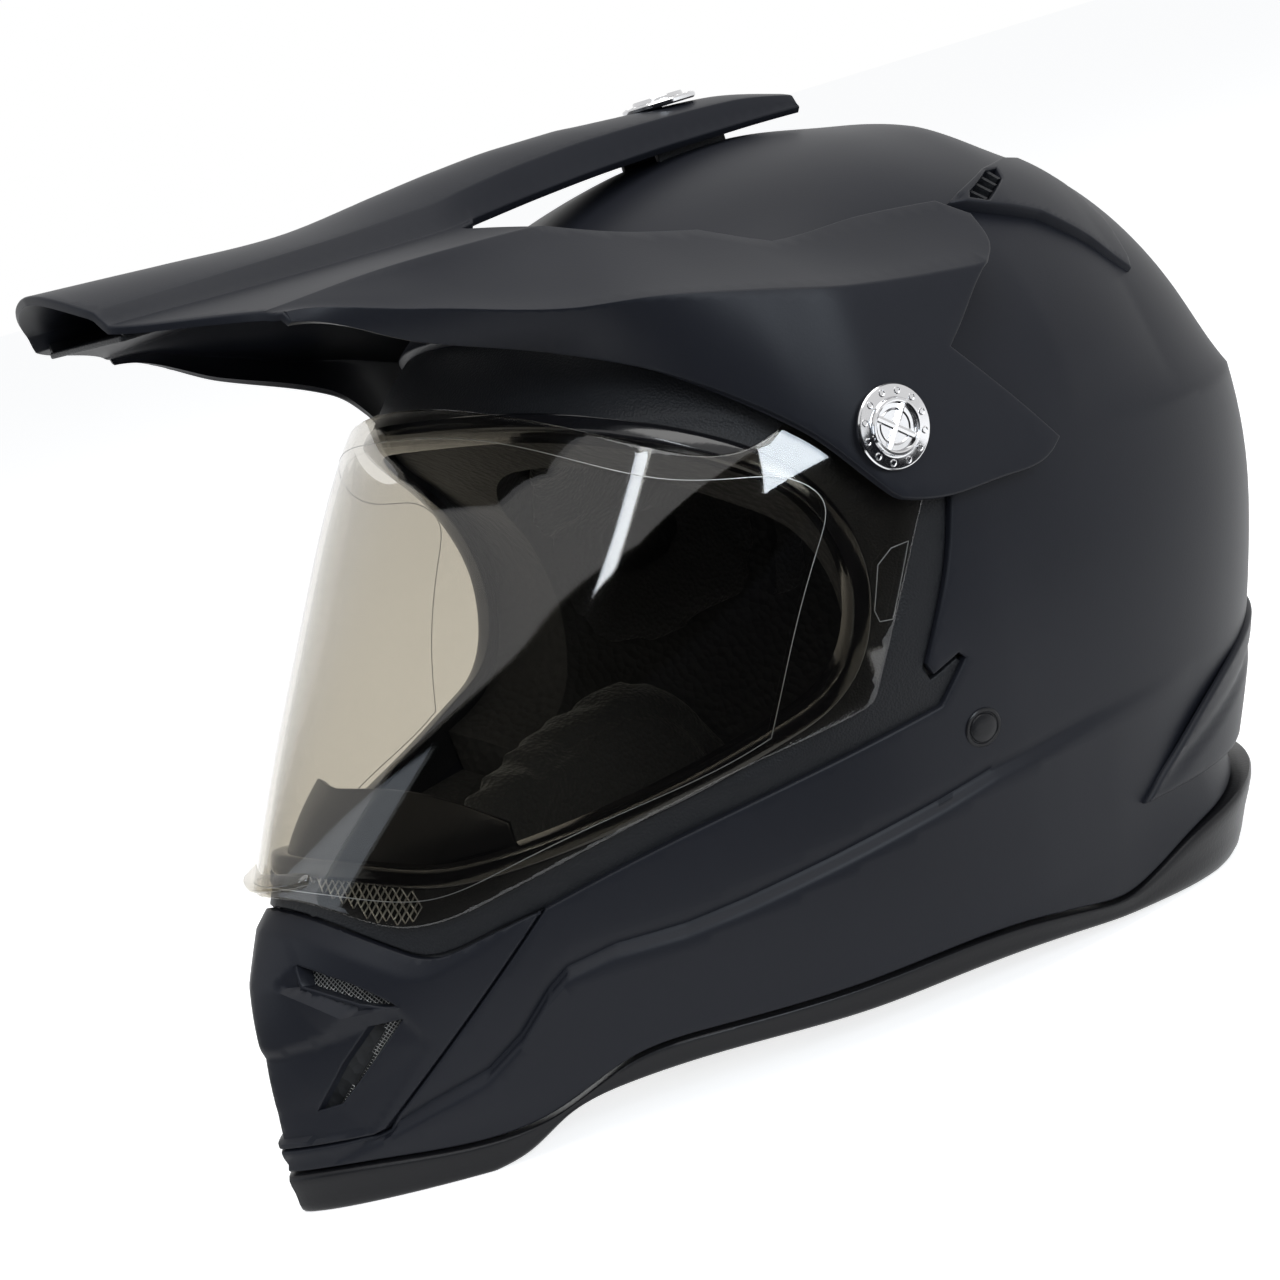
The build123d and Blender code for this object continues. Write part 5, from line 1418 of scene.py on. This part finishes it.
# %% The sill's grilles and the breath guard
GRILLE = [(-155.2, 98.7), (-155.5, 94.5), (-148, 83), (-141.6, 80.2), (-137, 83), (-140, 88), (-149.6, 96.4)]
diamond_net("sill_grille", closed_loop(GRILLE, out=-FRAME_INSET), -2.2, 2.5, 0.8,
            ("sill_grille_left", "sill_grille_right"), lean=1.5)
GUARD_OUT, GUARD_WALL = -5.8, 1.9
GUARD = [(-1.10, 0.400), (-0.93, 0.400), (-0.872, 0.417), (-0.80, 0.444), (-0.738, 0.449), (-0.668, 0.424),
         (-0.60, 0.38), (-0.60, 0.352), (-0.80, 0.352), (-1.10, 0.352)]
guard_path = skin_path(GUARD, corners=(6, 7), out=GUARD_OUT)
guard_loop = np.vstack([guard_path, middle_line(0, guard_path[-1, 1], guard_path[0, 1], 1.6)])


def guard_relief(back, height):
    """The guard's upper edge leans in toward the face."""
    return -6.0 * np.clip((height - 98) / 20, 0, 1) ** 1.6


breath_guard = skin_panel("breath_guard", [guard_loop], GUARD_OUT, GUARD_WALL, "helmet", *SOFT_RUBBER,
                          step=2.4, rounding=0.7, gap=0.1, relief=guard_relief)
print("breath guard", size_of(breath_guard))

# %% [markdown]
# ## Small fittings
# A flat plate with holes is a panel too, only its surface is a plane. The bracket, its
# nut and the hubs are mostly hidden, so they keep plain forms at their real sizes.

# %% Bracket, nut and hubs
def flat_panel(loops, high, wall, step=3.0, rounding=0.4):
    """A level plate between loops in plan, its top at the given height."""
    def surface(spots):
        return np.stack([spots[..., 0], spots[..., 1], np.full(spots.shape[:-1], float(high))], -1)

    points, faces, _ = panel_mesh(surface, lambda s: s, lambda f: f, [np.asarray(l, float) for l in loops],
                                  wall, step, rounding, 0.0, both_sides=False)
    return points, faces


def circle(radius, x=0.0, y=0.0, steps=40):
    """(x + r cos t, y + r sin t)"""
    turn = np.linspace(0, 2 * HALF, steps, endpoint=False)
    return np.stack([x + radius * np.cos(turn), y + radius * np.sin(turn)], -1)


def long_hole(radius, length, y):
    """A slot along Y: two half circles joined by straight sides."""
    turn = np.linspace(0, HALF, 17)
    half = length / 2 - radius
    high = np.stack([radius * np.cos(turn), y + half + radius * np.sin(turn)], -1)
    return np.vstack([high, (high - (0, y)) * (-1, -1) + (0, y)])


BRACKET_TOP, BRACKET_HALF, BRACKET_FRONT, BRACKET_BACK = 272.4, 12.0, 27.0, 55.0
bridge = flat_panel([rectangle(BRACKET_HALF, BRACKET_FRONT, BRACKET_BACK, 1.5), long_hole(2.65, 12.0, TOP_SCREW[1])],
                    BRACKET_TOP, 2.3)
legs = []
for hand in (-1, 1):
    outline = np.array(rectangle(1.15, BRACKET_FRONT + 1, BRACKET_BACK - 1, 0.5)) + (hand * (BRACKET_HALF - 1.2), 0)
    legs.append(plate_mesh(outline, 260.6, BRACKET_TOP - 1.0, 0.3))
points, faces = joined([bridge] + legs)
piece("peak_bracket", points, faces, "helmet", *MOULDED_BLACK, smooth=30)
hexagon = [(4.45 * math.cos(k * HALF / 3), TOP_SCREW[1] + 4.45 * math.sin(k * HALF / 3)) for k in range(6)]
points, faces = flat_panel([hexagon, circle(2.55, 0, TOP_SCREW[1], 24)], 268.5, 2.3, 1.5, 0.2)
piece("top_nut", points, faces, "peak_assembly", *STEEL, smooth=30)
HUB = [(0, 110.1), (8.4, 110.1), (8.95, 110.7), (8.95, 126.6), (8.5, 127.15), (6.0, 127.15), (5.95, 134.1),
       (3.2, 134.1), (3.0, 120.3), (0, 120.3)]
hub_points, hub_faces = turned_mesh(HUB, 48)
CAP = [(0, -5.5), (2.7, -5.5), (2.95, -5.2), (2.95, -0.4), (5.9, -0.4), (5.95, 0.25), (5.6, 0.5), (5.0, 0.5),
       (4.75, 0.2), (4.5, 0.15), (4.2, 0.6), (3.2, 0.95), (1.6, 1.15), (0, 1.2)]
cap_points, cap_faces = turned_mesh(CAP, 40)
cap_spots = skin_spots(np.array([[14.0, 84.0]]))[0]
cap_place, cap_way = skin(cap_spots)[0], normal_of(skin, cap_spots)[0]
cap_way = cap_way * math.copysign(1, cap_way[0])
for side, hand in SIDES:
    piece("pivot_hub_" + side, placed(hub_points, (0, 0, PIVOT_HEIGHT), (hand, 0, 0)), hub_faces, "helmet",
          *MOULDED_BLACK, smooth=30)
    piece("anchor_cap_" + side, placed(cap_points, cap_place * (hand, 1, 1), cap_way * (hand, 1, 1)), cap_faces,
          "helmet", "moulded_black", SOFT_RUBBER[1], smooth=35)
print("cap at", np.round(cap_place, 1))

# %% [markdown]
# ## Chin strap
# The strap is nylon webbing 20 mm wide and 2 mm thick. It leaves the steel anchors
# inside the shell, turns under the cheeks and meets in the middle in a moulded buckle
# with a release tongue. Webbing is flat and stiff, so it is one section carried along
# a drawn line, and its weave is a pattern along a UV map that follows the strap.

# %% Anchors, webbing and buckle
ANCHOR = [(4, 22.3), (24, 22.3), (24, 88), (19, 92.3), (9, 92.3), (4, 88)]


ANCHOR_OUT = -4.2


def anchor_surface(spots):
    return skin(spots, ANCHOR_OUT)


anchor_loops = [closed_loop(ANCHOR, out=ANCHOR_OUT),
                closed_loop(circle(3.1, 14, 84, 24), out=ANCHOR_OUT, corners=False)]
points, faces, _ = panel_mesh(anchor_surface, to_flat, from_flat, anchor_loops, 1.1, 4.0, 0.3, 0.0, both_sides=False)
on_both("strap_anchor", points, faces, "helmet", *STEEL)

STRAP = [(98.0, 26.9), (92, 26.2), (86, 22.5), (79, 14.5), (70, 9.6), (53, 6.9), (30, 6.4), (7.8, 6.3)]
STRAP_MIDDLE, STRAP_WIDTH, STRAP_THICK = 14.0, 19.8, 1.9


def web_section(width, thick):
    """Half-round selvedges a little thicker than the flat of the webbing."""
    half = width / 2
    top = [(-half, 0.0), (-half + 0.35, 0.42), (-half + 1.3, 0.5), (-half + 2.2, 0.44)]
    top = np.array(top + [(-x, z) for x, z in reversed(top)])
    return np.vstack([top, (top * (1, -1))[1:-1][::-1]]) * (1, thick)


def webbing_mesh(line, width, thick, step=1.5):
    """The section carried along a line in X and Z, with the way along in a UV map."""
    line = drawn(np.asarray(line, float), (), step)
    along = np.concatenate([[0], np.cumsum(np.linalg.norm(np.diff(line, axis=0), axis=1))])
    way = unit(np.gradient(line, axis=0))
    normal = np.stack([-way[:, 1], way[:, 0]], -1)
    section = web_section(width, thick)
    n = len(section)
    x = line[:, None, 0] + normal[:, None, 0] * section[None, :, 1]
    z = line[:, None, 1] + normal[:, None, 1] * section[None, :, 1]
    y = np.broadcast_to(STRAP_MIDDLE + section[None, :, 0], x.shape)
    points = np.stack([x, y, z], -1).reshape(-1, 3)
    uv = np.stack([np.broadcast_to(section[None, :, 0], x.shape), np.broadcast_to(along[:, None], x.shape)],
                  -1).reshape(-1, 2)
    ends = [list(range(n))[::-1], list(range(len(points) - n, len(points)))]
    faces = ring_faces(len(line), n).tolist() + ends
    return points, facing_out(points, faces), uv


def woven(name, colour, roughness, pitch, slope, height):
    """Webbing: two crossing waves of yarn on the strap's own UV map, in millimetres."""
    material, tree = new_material(name)
    out = node(tree, "ShaderNodeOutputMaterial")
    shader = node(tree, "ShaderNodeBsdfPrincipled", **{"Specular IOR Level": 0.35})
    spot = node(tree, "ShaderNodeUVMap", uv_map="along")
    weave = node(tree, "ShaderNodeMath", operation="MULTIPLY")
    for k, turn in enumerate((slope, -slope)):
        lean = node(tree, "ShaderNodeMapping", Rotation=(0, 0, turn), Scale=(1 / pitch, 1 / pitch, 1))
        wave = node(tree, "ShaderNodeTexWave", wave_profile="SIN", bands_direction="X", Scale=1.0)
        wired(tree, (spot, "UV", lean, "Vector"), (lean, "Vector", wave, "Vector"), (wave, "Fac", weave, k))
    tone = node(tree, "ShaderNodeMix", data_type="RGBA")
    tone.inputs[6].default_value = (*[c * 0.45 for c in colour], 1)
    tone.inputs[7].default_value = (*[c * 1.5 for c in colour], 1)
    rough = spread_out(tree, roughness + 0.12, roughness)
    bump = node(tree, "ShaderNodeBump", Strength=1.0, Distance=height)
    wired(tree, (weave, 0, tone, 0), (tone, 2, shader, "Base Color"), (weave, 0, rough, "Value"),
          (rough, 0, shader, "Roughness"), (weave, 0, bump, "Height"), (bump, 0, shader, "Normal"),
          (shader, 0, out, "Surface"))
    return material


WEBBING = "webbing", woven("nylon_webbing", (0.016, 0.016, 0.017), 0.55, 1.3, HALF / 4, 0.0003)
points, faces, uv = webbing_mesh(STRAP, STRAP_WIDTH, STRAP_THICK)
for strap in on_both("chin_strap", points, faces, "helmet", *WEBBING):
    layer = strap.data.uv_layers.new(name="along")
    spots = np.empty(len(strap.data.loops), int)
    strap.data.loops.foreach_get("vertex_index", spots)
    layer.data.foreach_set("uv", uv[spots].astype(np.float32).ravel())

BUCKLE_HALF, BUCKLE_LOW, BUCKLE_HIGH = 21.0, 1.5, 10.5
case_outline = np.array(rectangle(BUCKLE_HALF, STRAP_MIDDLE - 12.9, STRAP_MIDDLE + 12.9, 4.0, 6))
case = plate_mesh(case_outline, BUCKLE_LOW, BUCKLE_HIGH - 1.2, 1.6)
lid = plate_mesh(np.array(rectangle(BUCKLE_HALF - 4.5, STRAP_MIDDLE - 9.5, STRAP_MIDDLE + 9.5, 3.0, 5)),
                 BUCKLE_HIGH - 2.4, BUCKLE_HIGH - 0.1, 0.9)
grips = [plate_mesh(np.array(rectangle(0.7, STRAP_MIDDLE - 7.0, STRAP_MIDDLE + 7.0, 0.6, 2)) + (-9.0 + 2.6 * k, 0),
                    BUCKLE_HIGH - 0.6, BUCKLE_HIGH, 0.25) for k in range(5)]
ends = [plate_mesh(np.array(rectangle(1.6, STRAP_MIDDLE - 11.6, STRAP_MIDDLE + 11.6, 1.2, 4))
                   + (hand * (BUCKLE_HALF - 1.0), 0), 2.6, 9.0, 0.7) for hand in (-1, 1)]
points, faces = joined([case, lid] + grips + ends)
piece("strap_buckle", points, faces, "helmet", *MOULDED_BLACK, smooth=35)

# %% [markdown]
# ## Vent shutter
# Behind the lower mouth vents a thin plate slides up to close them. Its knob reaches
# back through a slot in the chin's liner, where a finger finds it.

# %% Shutter and lever
SHUTTER_OUT, SHUTTER_WALL = -6.0, 1.1
SHUTTER = [(-1.10, 0.205), (-0.86, 0.205), (-0.93, 0.13), (-1.10, 0.13)]
shutter_path = skin_path(SHUTTER, corners=(1, 2), out=SHUTTER_OUT)
shutter_loop = np.vstack([shutter_path, middle_line(0, shutter_path[-1, 1], shutter_path[0, 1], 1.6)])
skin_panel("vent_shutter", [shutter_loop], SHUTTER_OUT, SHUTTER_WALL, "chin_shutter", *MOULDED_BLACK, step=2.4,
           rounding=0.4, gap=0.1)
LEVER_BACK, LEVER_FRONT, LEVER_HEIGHT = -154.5, -172.4, 44.0
reach = LEVER_BACK - LEVER_FRONT
ridges = [(3.95 if k % 2 else 3.55, reach - 0.7 - 0.8 * k) for k in range(7)]
LEVER = [(0, 0.0), (3.2, 0.0), (3.2, reach - 7.0)] + ridges[::-1] + [(3.3, reach), (0, reach)]
lever_points, lever_faces = turned_mesh(LEVER, 36)
piece("shutter_lever", placed(lever_points, (0, LEVER_FRONT, LEVER_HEIGHT), (0, 1, 0)), lever_faces, "chin_shutter",
      *MOULDED_BLACK, smooth=25)

# %% [markdown]
# ## Liners
# The impact liners are thick moulded foam: patches of the skin again, but with their
# inner face on a skin drawn further in, so that the wall keeps its taper at the edges.

# %% Crown and chin liners
LINER = [(-1.10, 0.825), (-0.39, 0.80), (-0.27, 0.748), (-0.19, 0.705), (-0.115, 0.66), (-0.068, 0.60),
         (-0.052, 0.542), (-0.063, 0.485), (-0.10, 0.43), (-0.155, 0.397), (-0.235, 0.378), (-0.28, 0.372),
         (-0.28, 0.108), (0.2, 0.108), (1.10, 0.108)]
CHIN_LINER = [(-1.10, 0.338), (-0.98, 0.338), (-0.88, 0.336), (-0.77, 0.311), (-0.64, 0.311), (-0.49, 0.32),
              (-0.284, 0.32), (-0.284, 0.108), (-0.60, 0.108), (-0.70, 0.075), (-1.10, 0.072)]
LINER_OUT, LINER_DEPTH, CHIN_DEPTH = -5.8, 30.8, 19.8


def liner_mesh(loop, depth, relief=None):
    """A patch of foam between two skins that are depth apart."""
    points, faces, middle = panel_mesh(relieved(LINER_OUT, relief), *skin_flat(0.0), [loop], depth, 5.0, 1.5, 0.1,
                                       under=lambda spots: skin(spots, LINER_OUT - depth))
    return mirrored(points, faces, middle)


liner_path = skin_path(LINER, corners=(11, 12), out=LINER_OUT, step=2.4)
liner_loop = np.vstack([liner_path, middle_line(1, liner_path[-1, 1], QUARTER, 4.0),
                        middle_line(0, QUARTER, liner_path[0, 1], 4.0)])
points, faces = liner_mesh(liner_loop, LINER_DEPTH)
impact_liner = piece("impact_liner", points, faces, "helmet", *FOAM)
print("impact liner", size_of(impact_liner), len(liner_loop), "outline points")


def pocket_relief(back, height):
    """The chin's liner steps in behind the vents, where the shutter slides."""
    return -6.3 / (1 + np.exp((back + 150) / 0.8))


SLOT_HALF, SLOT_LOW, SLOT_HIGH = 4.6, 38.8, 57.2
chin_liner_path = skin_path(CHIN_LINER, corners=(6, 7), out=LINER_OUT, step=2.4)
slot_climb = np.arcsin(np.array([SLOT_LOW, SLOT_HIGH]) / (CROWN + LINER_OUT))
slot_share = SLOT_HALF / np.interp(slot_climb, CLIMBS, half_round)
slot_side = np.stack([slot_share, slot_climb], -1)
chin_liner_loop = np.vstack([
    chin_liner_path, middle_line(0, chin_liner_path[-1, 1], slot_climb[0]), [[0, slot_climb[0]]], slot_side[:1],
    np.linspace(slot_side[0], slot_side[1], 6)[1:], [[0, slot_climb[1]]],
    middle_line(0, slot_climb[1], chin_liner_path[0, 1])])
points, faces = liner_mesh(chin_liner_loop, CHIN_DEPTH, pocket_relief)
piece("chin_liner", points, faces, "helmet", *FOAM)

# %% [markdown]
# ## Pads
# The crown lining and the cheek pads are foam in knitted fabric. Each starts as a
# slightly thin patch of the skin inside the liner, is remeshed evenly and blown up as
# cloth with a little pressure, so that its faces crown and its corners pull in. A cap
# keeps each point near its start, and what presses into the liner is laid flat on it,
# as a pad is where it rests. Seams are pressed in afterwards, because the remesh would
# lose them.

# %% Cloth for the pads
PAD_VOXEL, PAD_PRESSURE, PAD_FRAMES = 5.0, 4.0, 20


def plain_mesh(name, points, faces):
    mesh = bpy.data.meshes.new(name)
    mesh.from_pydata((np.asarray(points) * MM).tolist(), [], [list(map(int, f)) for f in faces])
    return mesh


def evaluated(thing):
    """The mesh of an object with its modifiers, as a new mesh."""
    graph = bpy.context.evaluated_depsgraph_get()
    return bpy.data.meshes.new_from_object(thing.evaluated_get(graph))


def mesh_points(mesh):
    spots = np.empty(len(mesh.vertices) * 3)
    mesh.vertices.foreach_get("co", spots)
    return spots.reshape(-1, 3) / MM


def blown_up(points, faces, cap):
    """The closed shape remeshed and filled with pressure, no point moving past the cap."""
    thing = bpy.data.objects.new("pad", plain_mesh("pad", points, faces))
    bpy.context.scene.collection.objects.link(thing)
    remesh = thing.modifiers.new("even", "REMESH")
    remesh.mode, remesh.voxel_size = "VOXEL", PAD_VOXEL * MM
    thing.data = evaluated(thing)
    thing.modifiers.clear()
    start = mesh_points(thing.data)
    cloth = thing.modifiers.new("fill", "CLOTH")
    cloth.settings.use_pressure = True
    cloth.settings.uniform_pressure_force = PAD_PRESSURE
    cloth.settings.effector_weights.gravity = 0
    for frame_number in range(1, PAD_FRAMES + 1):
        bpy.context.scene.frame_set(frame_number)
    end = mesh_points(evaluated(thing))
    bpy.context.scene.frame_set(1)
    thing.modifiers.clear()
    move = end - start
    size = np.linalg.norm(move, axis=1, keepdims=True)
    start = start + move * np.minimum(1, cap / np.maximum(size, 1e-9))
    thing.data.vertices.foreach_set("co", (start * MM).ravel())
    fine = thing.modifiers.new("fine", "SUBSURF")
    fine.levels = fine.render_levels = 1
    mesh = evaluated(thing)
    bpy.data.objects.remove(thing)
    return mesh_points(mesh), [list(f.vertices) for f in mesh.polygons]


def kept_inside(points, out):
    """Points past the skin at `out` drawn straight in, level by level, until they lie
    on it."""
    points = points.copy()
    points[:, 2] = np.minimum(points[:, 2], (CROWN + out) * 0.9995)
    climb = np.arcsin(points[:, 2] / (CROWN + out))
    front, back, half, wide, blunt, cheek, tail = np.moveaxis(level_at(climb), -1, 0)
    ahead = points[:, 1] < wide
    reach = np.where(ahead, -drawn_in(wide - front, out), drawn_in(back - wide, out))
    power = np.where(ahead, (blunt + cheek) / 2, tail)
    for _ in range(4):
        x = np.abs(points[:, 0]) / drawn_in(half, out)
        y = np.clip((points[:, 1] - wide) / reach, 0, None)
        level = x ** np.where(ahead, cheek, tail) + y ** np.where(ahead, blunt, tail)
        shrink = np.maximum(level, 1) ** (-1 / power)
        points[:, 0] *= shrink
        points[:, 1] = wide + (points[:, 1] - wide) * shrink
    return points


def pressed(points, faces, gap, depth, width):
    """Points pressed inward along their normals where their distance to a seam is small:
    depth times a bell curve of the gap over the width."""
    mesh = plain_mesh("pressed", points, faces)
    normals = np.empty(len(mesh.vertices) * 3)
    mesh.vertices.foreach_get("normal", normals)
    bpy.data.meshes.remove(mesh)
    return points - normals.reshape(-1, 3) * (depth * np.exp(-(gap / width) ** 2))[:, None]


KNIT = grained("knitted_lining", (0.017, 0.0175, 0.019), 0.82, 0.08, 620, 0.0005, pattern="ShaderNodeTexVoronoi",
               sheen=0.25)
LINER_FACE = -37.0
COMFORT = [(-0.42, 0.83), (-0.30, 0.77), (-0.20, 0.73), (-0.10, 0.68), (-0.05, 0.62), (0.0, 0.48), (0.05, 0.41),
           (0.40, 0.38), (0.80, 0.30), (1.10, 0.30)]
COMFORT_OUT, COMFORT_THIN, COMFORT_CAP = -38.0, 4.0, 3.0
comfort_path = skin_path(COMFORT, out=COMFORT_OUT, step=4.0)
comfort_loop = np.vstack([comfort_path, middle_line(1, comfort_path[-1, 1], QUARTER, 5.0),
                          middle_line(0, QUARTER, comfort_path[0, 1], 5.0)])
points, faces, middle = panel_mesh(lambda spots: skin(spots, COMFORT_OUT), *skin_flat(0.0), [comfort_loop],
                                   COMFORT_THIN, 7.0, 1.0, 0.5,
                                   under=lambda spots: skin(spots, COMFORT_OUT - COMFORT_THIN))
points, faces = blown_up(*mirrored(points, faces, middle), COMFORT_CAP)
points = kept_inside(points, LINER_FACE)
seam_gap = np.abs(np.abs(points[:, 0]) - 36 - 0.06 * points[:, 1])
cross_gap = np.abs(points[:, 1] - 50 + 0.35 * (points[:, 2] - 190))
points = pressed(points, faces, np.minimum(seam_gap, cross_gap), 1.5, 2.2)
comfort = piece("comfort_liner", points, faces, "helmet", "lining_fabric", KNIT, smooth=60)
print("comfort liner", size_of(comfort), len(faces), "faces")

CHEEK = [(-86, 36), (-90, 62), (-81, 84), (-54, 95.5), (-22, 100), (5, 98.5), (20, 93), (38, 65), (36, 38),
         (26, 31.5), (-70, 31.5)]
CHEEK_OUT, CHEEK_THIN, CHEEK_CAP = -38.5, 15.0, 5.0
cheek_loop = closed_loop(CHEEK, out=CHEEK_OUT, corners=False, step=4.0)
points, faces, _ = panel_mesh(lambda spots: skin(spots, CHEEK_OUT), *skin_flat(0.0), [cheek_loop], CHEEK_THIN, 7.0,
                              1.5, 0.5, under=lambda spots: skin(spots, CHEEK_OUT - CHEEK_THIN),
                              both_sides=False)
points, faces = blown_up(points, faces, CHEEK_CAP)
points = kept_inside(points, LINER_FACE)
seam_line = closed_loop(np.array(CHEEK) * 0.80 + np.array([-22, 66]) * 0.20, out=CHEEK_OUT, corners=False, step=2.0)
seam_spots = skin(seam_line, CHEEK_OUT - CHEEK_THIN)[:, 1:]
points = pressed(points, faces, nearest(points[:, 1:], seam_spots), 1.3, 2.0)
for pad in on_both("cheek_pad", points, faces, "helmet", "mesh_fabric", KNIT, smooth=60):
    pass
print("cheek pad", size_of(pad), len(faces), "faces")

# %% [markdown]
# ## Stage
# The helmet stands on a white floor in front of a white surround, as a catalogue
# picture does. White comes from what the camera sees of the floor and the world, not
# from more light on the object: both look white to a camera or a mirror, while the
# light they give stays plain. The floor adds a little diffuse light to its white, so
# that it still takes the helmet's shadow.

# %% Floor and surround
def seen_white(tree, plain, shown):
    """Mixes what rays of light meet with what the camera, mirrors and glass see."""
    path = node(tree, "ShaderNodeLightPath")
    first = node(tree, "ShaderNodeMath", operation="MAXIMUM")
    either = node(tree, "ShaderNodeMath", operation="MAXIMUM")
    mix = node(tree, "ShaderNodeMixShader")
    wired(tree, (path, "Is Camera Ray", first, 0), (path, "Is Glossy Ray", first, 1), (first, 0, either, 0),
          (path, "Is Transmission Ray", either, 1), (either, 0, mix, 0), (plain, 0, mix, 1), (shown, 0, mix, 2))
    return mix


def floor_finish():
    material, tree = new_material("floor_white")
    plain = node(tree, "ShaderNodeBsdfDiffuse", Color=(0.8, 0.8, 0.8, 1))
    glow = node(tree, "ShaderNodeEmission", Color=(1, 1, 1, 1), Strength=0.75)
    catch = node(tree, "ShaderNodeBsdfDiffuse", Color=(0.75, 0.75, 0.75, 1))
    shown = node(tree, "ShaderNodeAddShader")
    out = node(tree, "ShaderNodeOutputMaterial")
    wired(tree, (glow, 0, shown, 0), (catch, 0, shown, 1), (seen_white(tree, plain, shown), 0, out, "Surface"))
    return material


def floor_plane(half=40.0):
    mesh = bpy.data.meshes.new("floor")
    mesh.from_pydata([(-half, -half, 0), (half, -half, 0), (half, half, 0), (-half, half, 0)], [], [(0, 1, 2, 3)])
    mesh.materials.append(floor_finish())
    thing = bpy.data.objects.new("floor", mesh)
    bpy.context.scene.collection.objects.link(thing)


def surround(level, tint):
    world = bpy.data.worlds.new("surround")
    bpy.context.scene.world = world
    world.use_nodes = True
    tree = world.node_tree
    tree.nodes.clear()
    plain = node(tree, "ShaderNodeBackground", Color=(*tint, 1), Strength=level)
    shown = node(tree, "ShaderNodeBackground", Color=(1, 1, 1, 1), Strength=1.0)
    out = node(tree, "ShaderNodeOutputWorld")
    wired(tree, (seen_white(tree, plain, shown), 0, out, "Surface"))


floor_plane()
surround(0.30, (0.93, 0.96, 1.0))


# %% [markdown]
# ## Light and camera
# Black plastic shows its form only by soft reflections, so the lamps are large panels:
# one overhead that greys the peak and the crown, a cooler one low in front that lights
# the chin and the lower facets, a bluish one at the side, and a tall narrow one that
# draws the long streak down the visor. Dark cards stand round the front of the stage,
# as a photographer sets them up for glossy black things. Only mirrors and gloss see
# them: without them the white room would lie as a veil on the visor and the chin.

# %% Lamps
def soft_panel(name, place, target, size, watts, tint):
    lamp = bpy.data.lights.new(name, "AREA")
    lamp.shape, lamp.size, lamp.size_y, lamp.energy, lamp.color = "RECTANGLE", size[0], size[1], watts, tint
    thing = bpy.data.objects.new(name, lamp)
    bpy.context.scene.collection.objects.link(thing)
    thing.location = place
    thing.rotation_euler = (Vector(target) - Vector(place)).to_track_quat("-Z", "Y").to_euler()


def dark_cards(quads):
    """Black cards that only glossy rays meet, each given by its four corners."""
    material, tree = new_material("card_black")
    plain = node(tree, "ShaderNodeBsdfDiffuse", Color=(0.01, 0.01, 0.012, 1))
    out = node(tree, "ShaderNodeOutputMaterial")
    wired(tree, (plain, 0, out, "Surface"))
    mesh = bpy.data.meshes.new("cards")
    mesh.from_pydata([p for quad in quads for p in quad], [],
                     [tuple(range(4 * k, 4 * k + 4)) for k in range(len(quads))])
    mesh.materials.append(material)
    thing = bpy.data.objects.new("cards", mesh)
    bpy.context.scene.collection.objects.link(thing)
    thing.visible_camera = thing.visible_diffuse = thing.visible_transmission = thing.visible_shadow = False


def standing(a, b, top):
    return [(*a, 0), (*b, 0), (*b, top), (*a, top)]


def lying(low, high, level=0.002):
    return [(*low, level), (high[0], low[1], level), (*high, level), (low[0], high[1], level)]


dark_cards([standing((-0.3, -2.8), (2.6, -2.8), 1.45), standing((2.6, -2.8), (2.6, 0.4), 1.45),
            lying((-0.3, -2.8), (2.6, -0.28)), lying((0.36, -0.28), (2.6, 0.4)), lying((0.18, -0.28), (0.36, 0.0))])
soft_panel("overhead", (0.5, -0.1, 2.1), (0, 0, 0.2), (1.8, 1.8), 34, (1.0, 0.99, 0.97))
soft_panel("front", (-0.45, -2.2, 0.55), (0, -0.05, 0.12), (1.4, 1.0), 6, (0.80, 0.89, 1.0))
soft_panel("side", (2.3, -0.35, 0.95), (0, 0, 0.15), (0.8, 0.9), 34, (0.84, 0.92, 1.0))
soft_panel("streak", (1.27, -1.69, 1.47), (0.09, -0.07, 0.16), (0.15, 1.25), 8, (0.9, 0.95, 1.0))

# %% Camera
RIGHT, UP, FORWARD = (0.500, 0.817, -0.286), (-0.012, 0.337, 0.941), (-0.866, 0.467, -0.178)
CAMERA_PLACE = (748.17, -425.41 + PIVOT_BACK, 276.19)
camera = bpy.data.cameras.new("camera")
camera.lens, camera.sensor_width = 76.7, 36.0
eye = bpy.data.objects.new("camera", camera)
bpy.context.scene.collection.objects.link(eye)
turned = Matrix([RIGHT, UP, tuple(-c for c in FORWARD)]).transposed().to_4x4()
turned.translation = Vector(CAMERA_PLACE) * MM
eye.matrix_world = turned
bpy.context.scene.camera = eye
bpy.context.scene.view_settings.view_transform = "Standard"
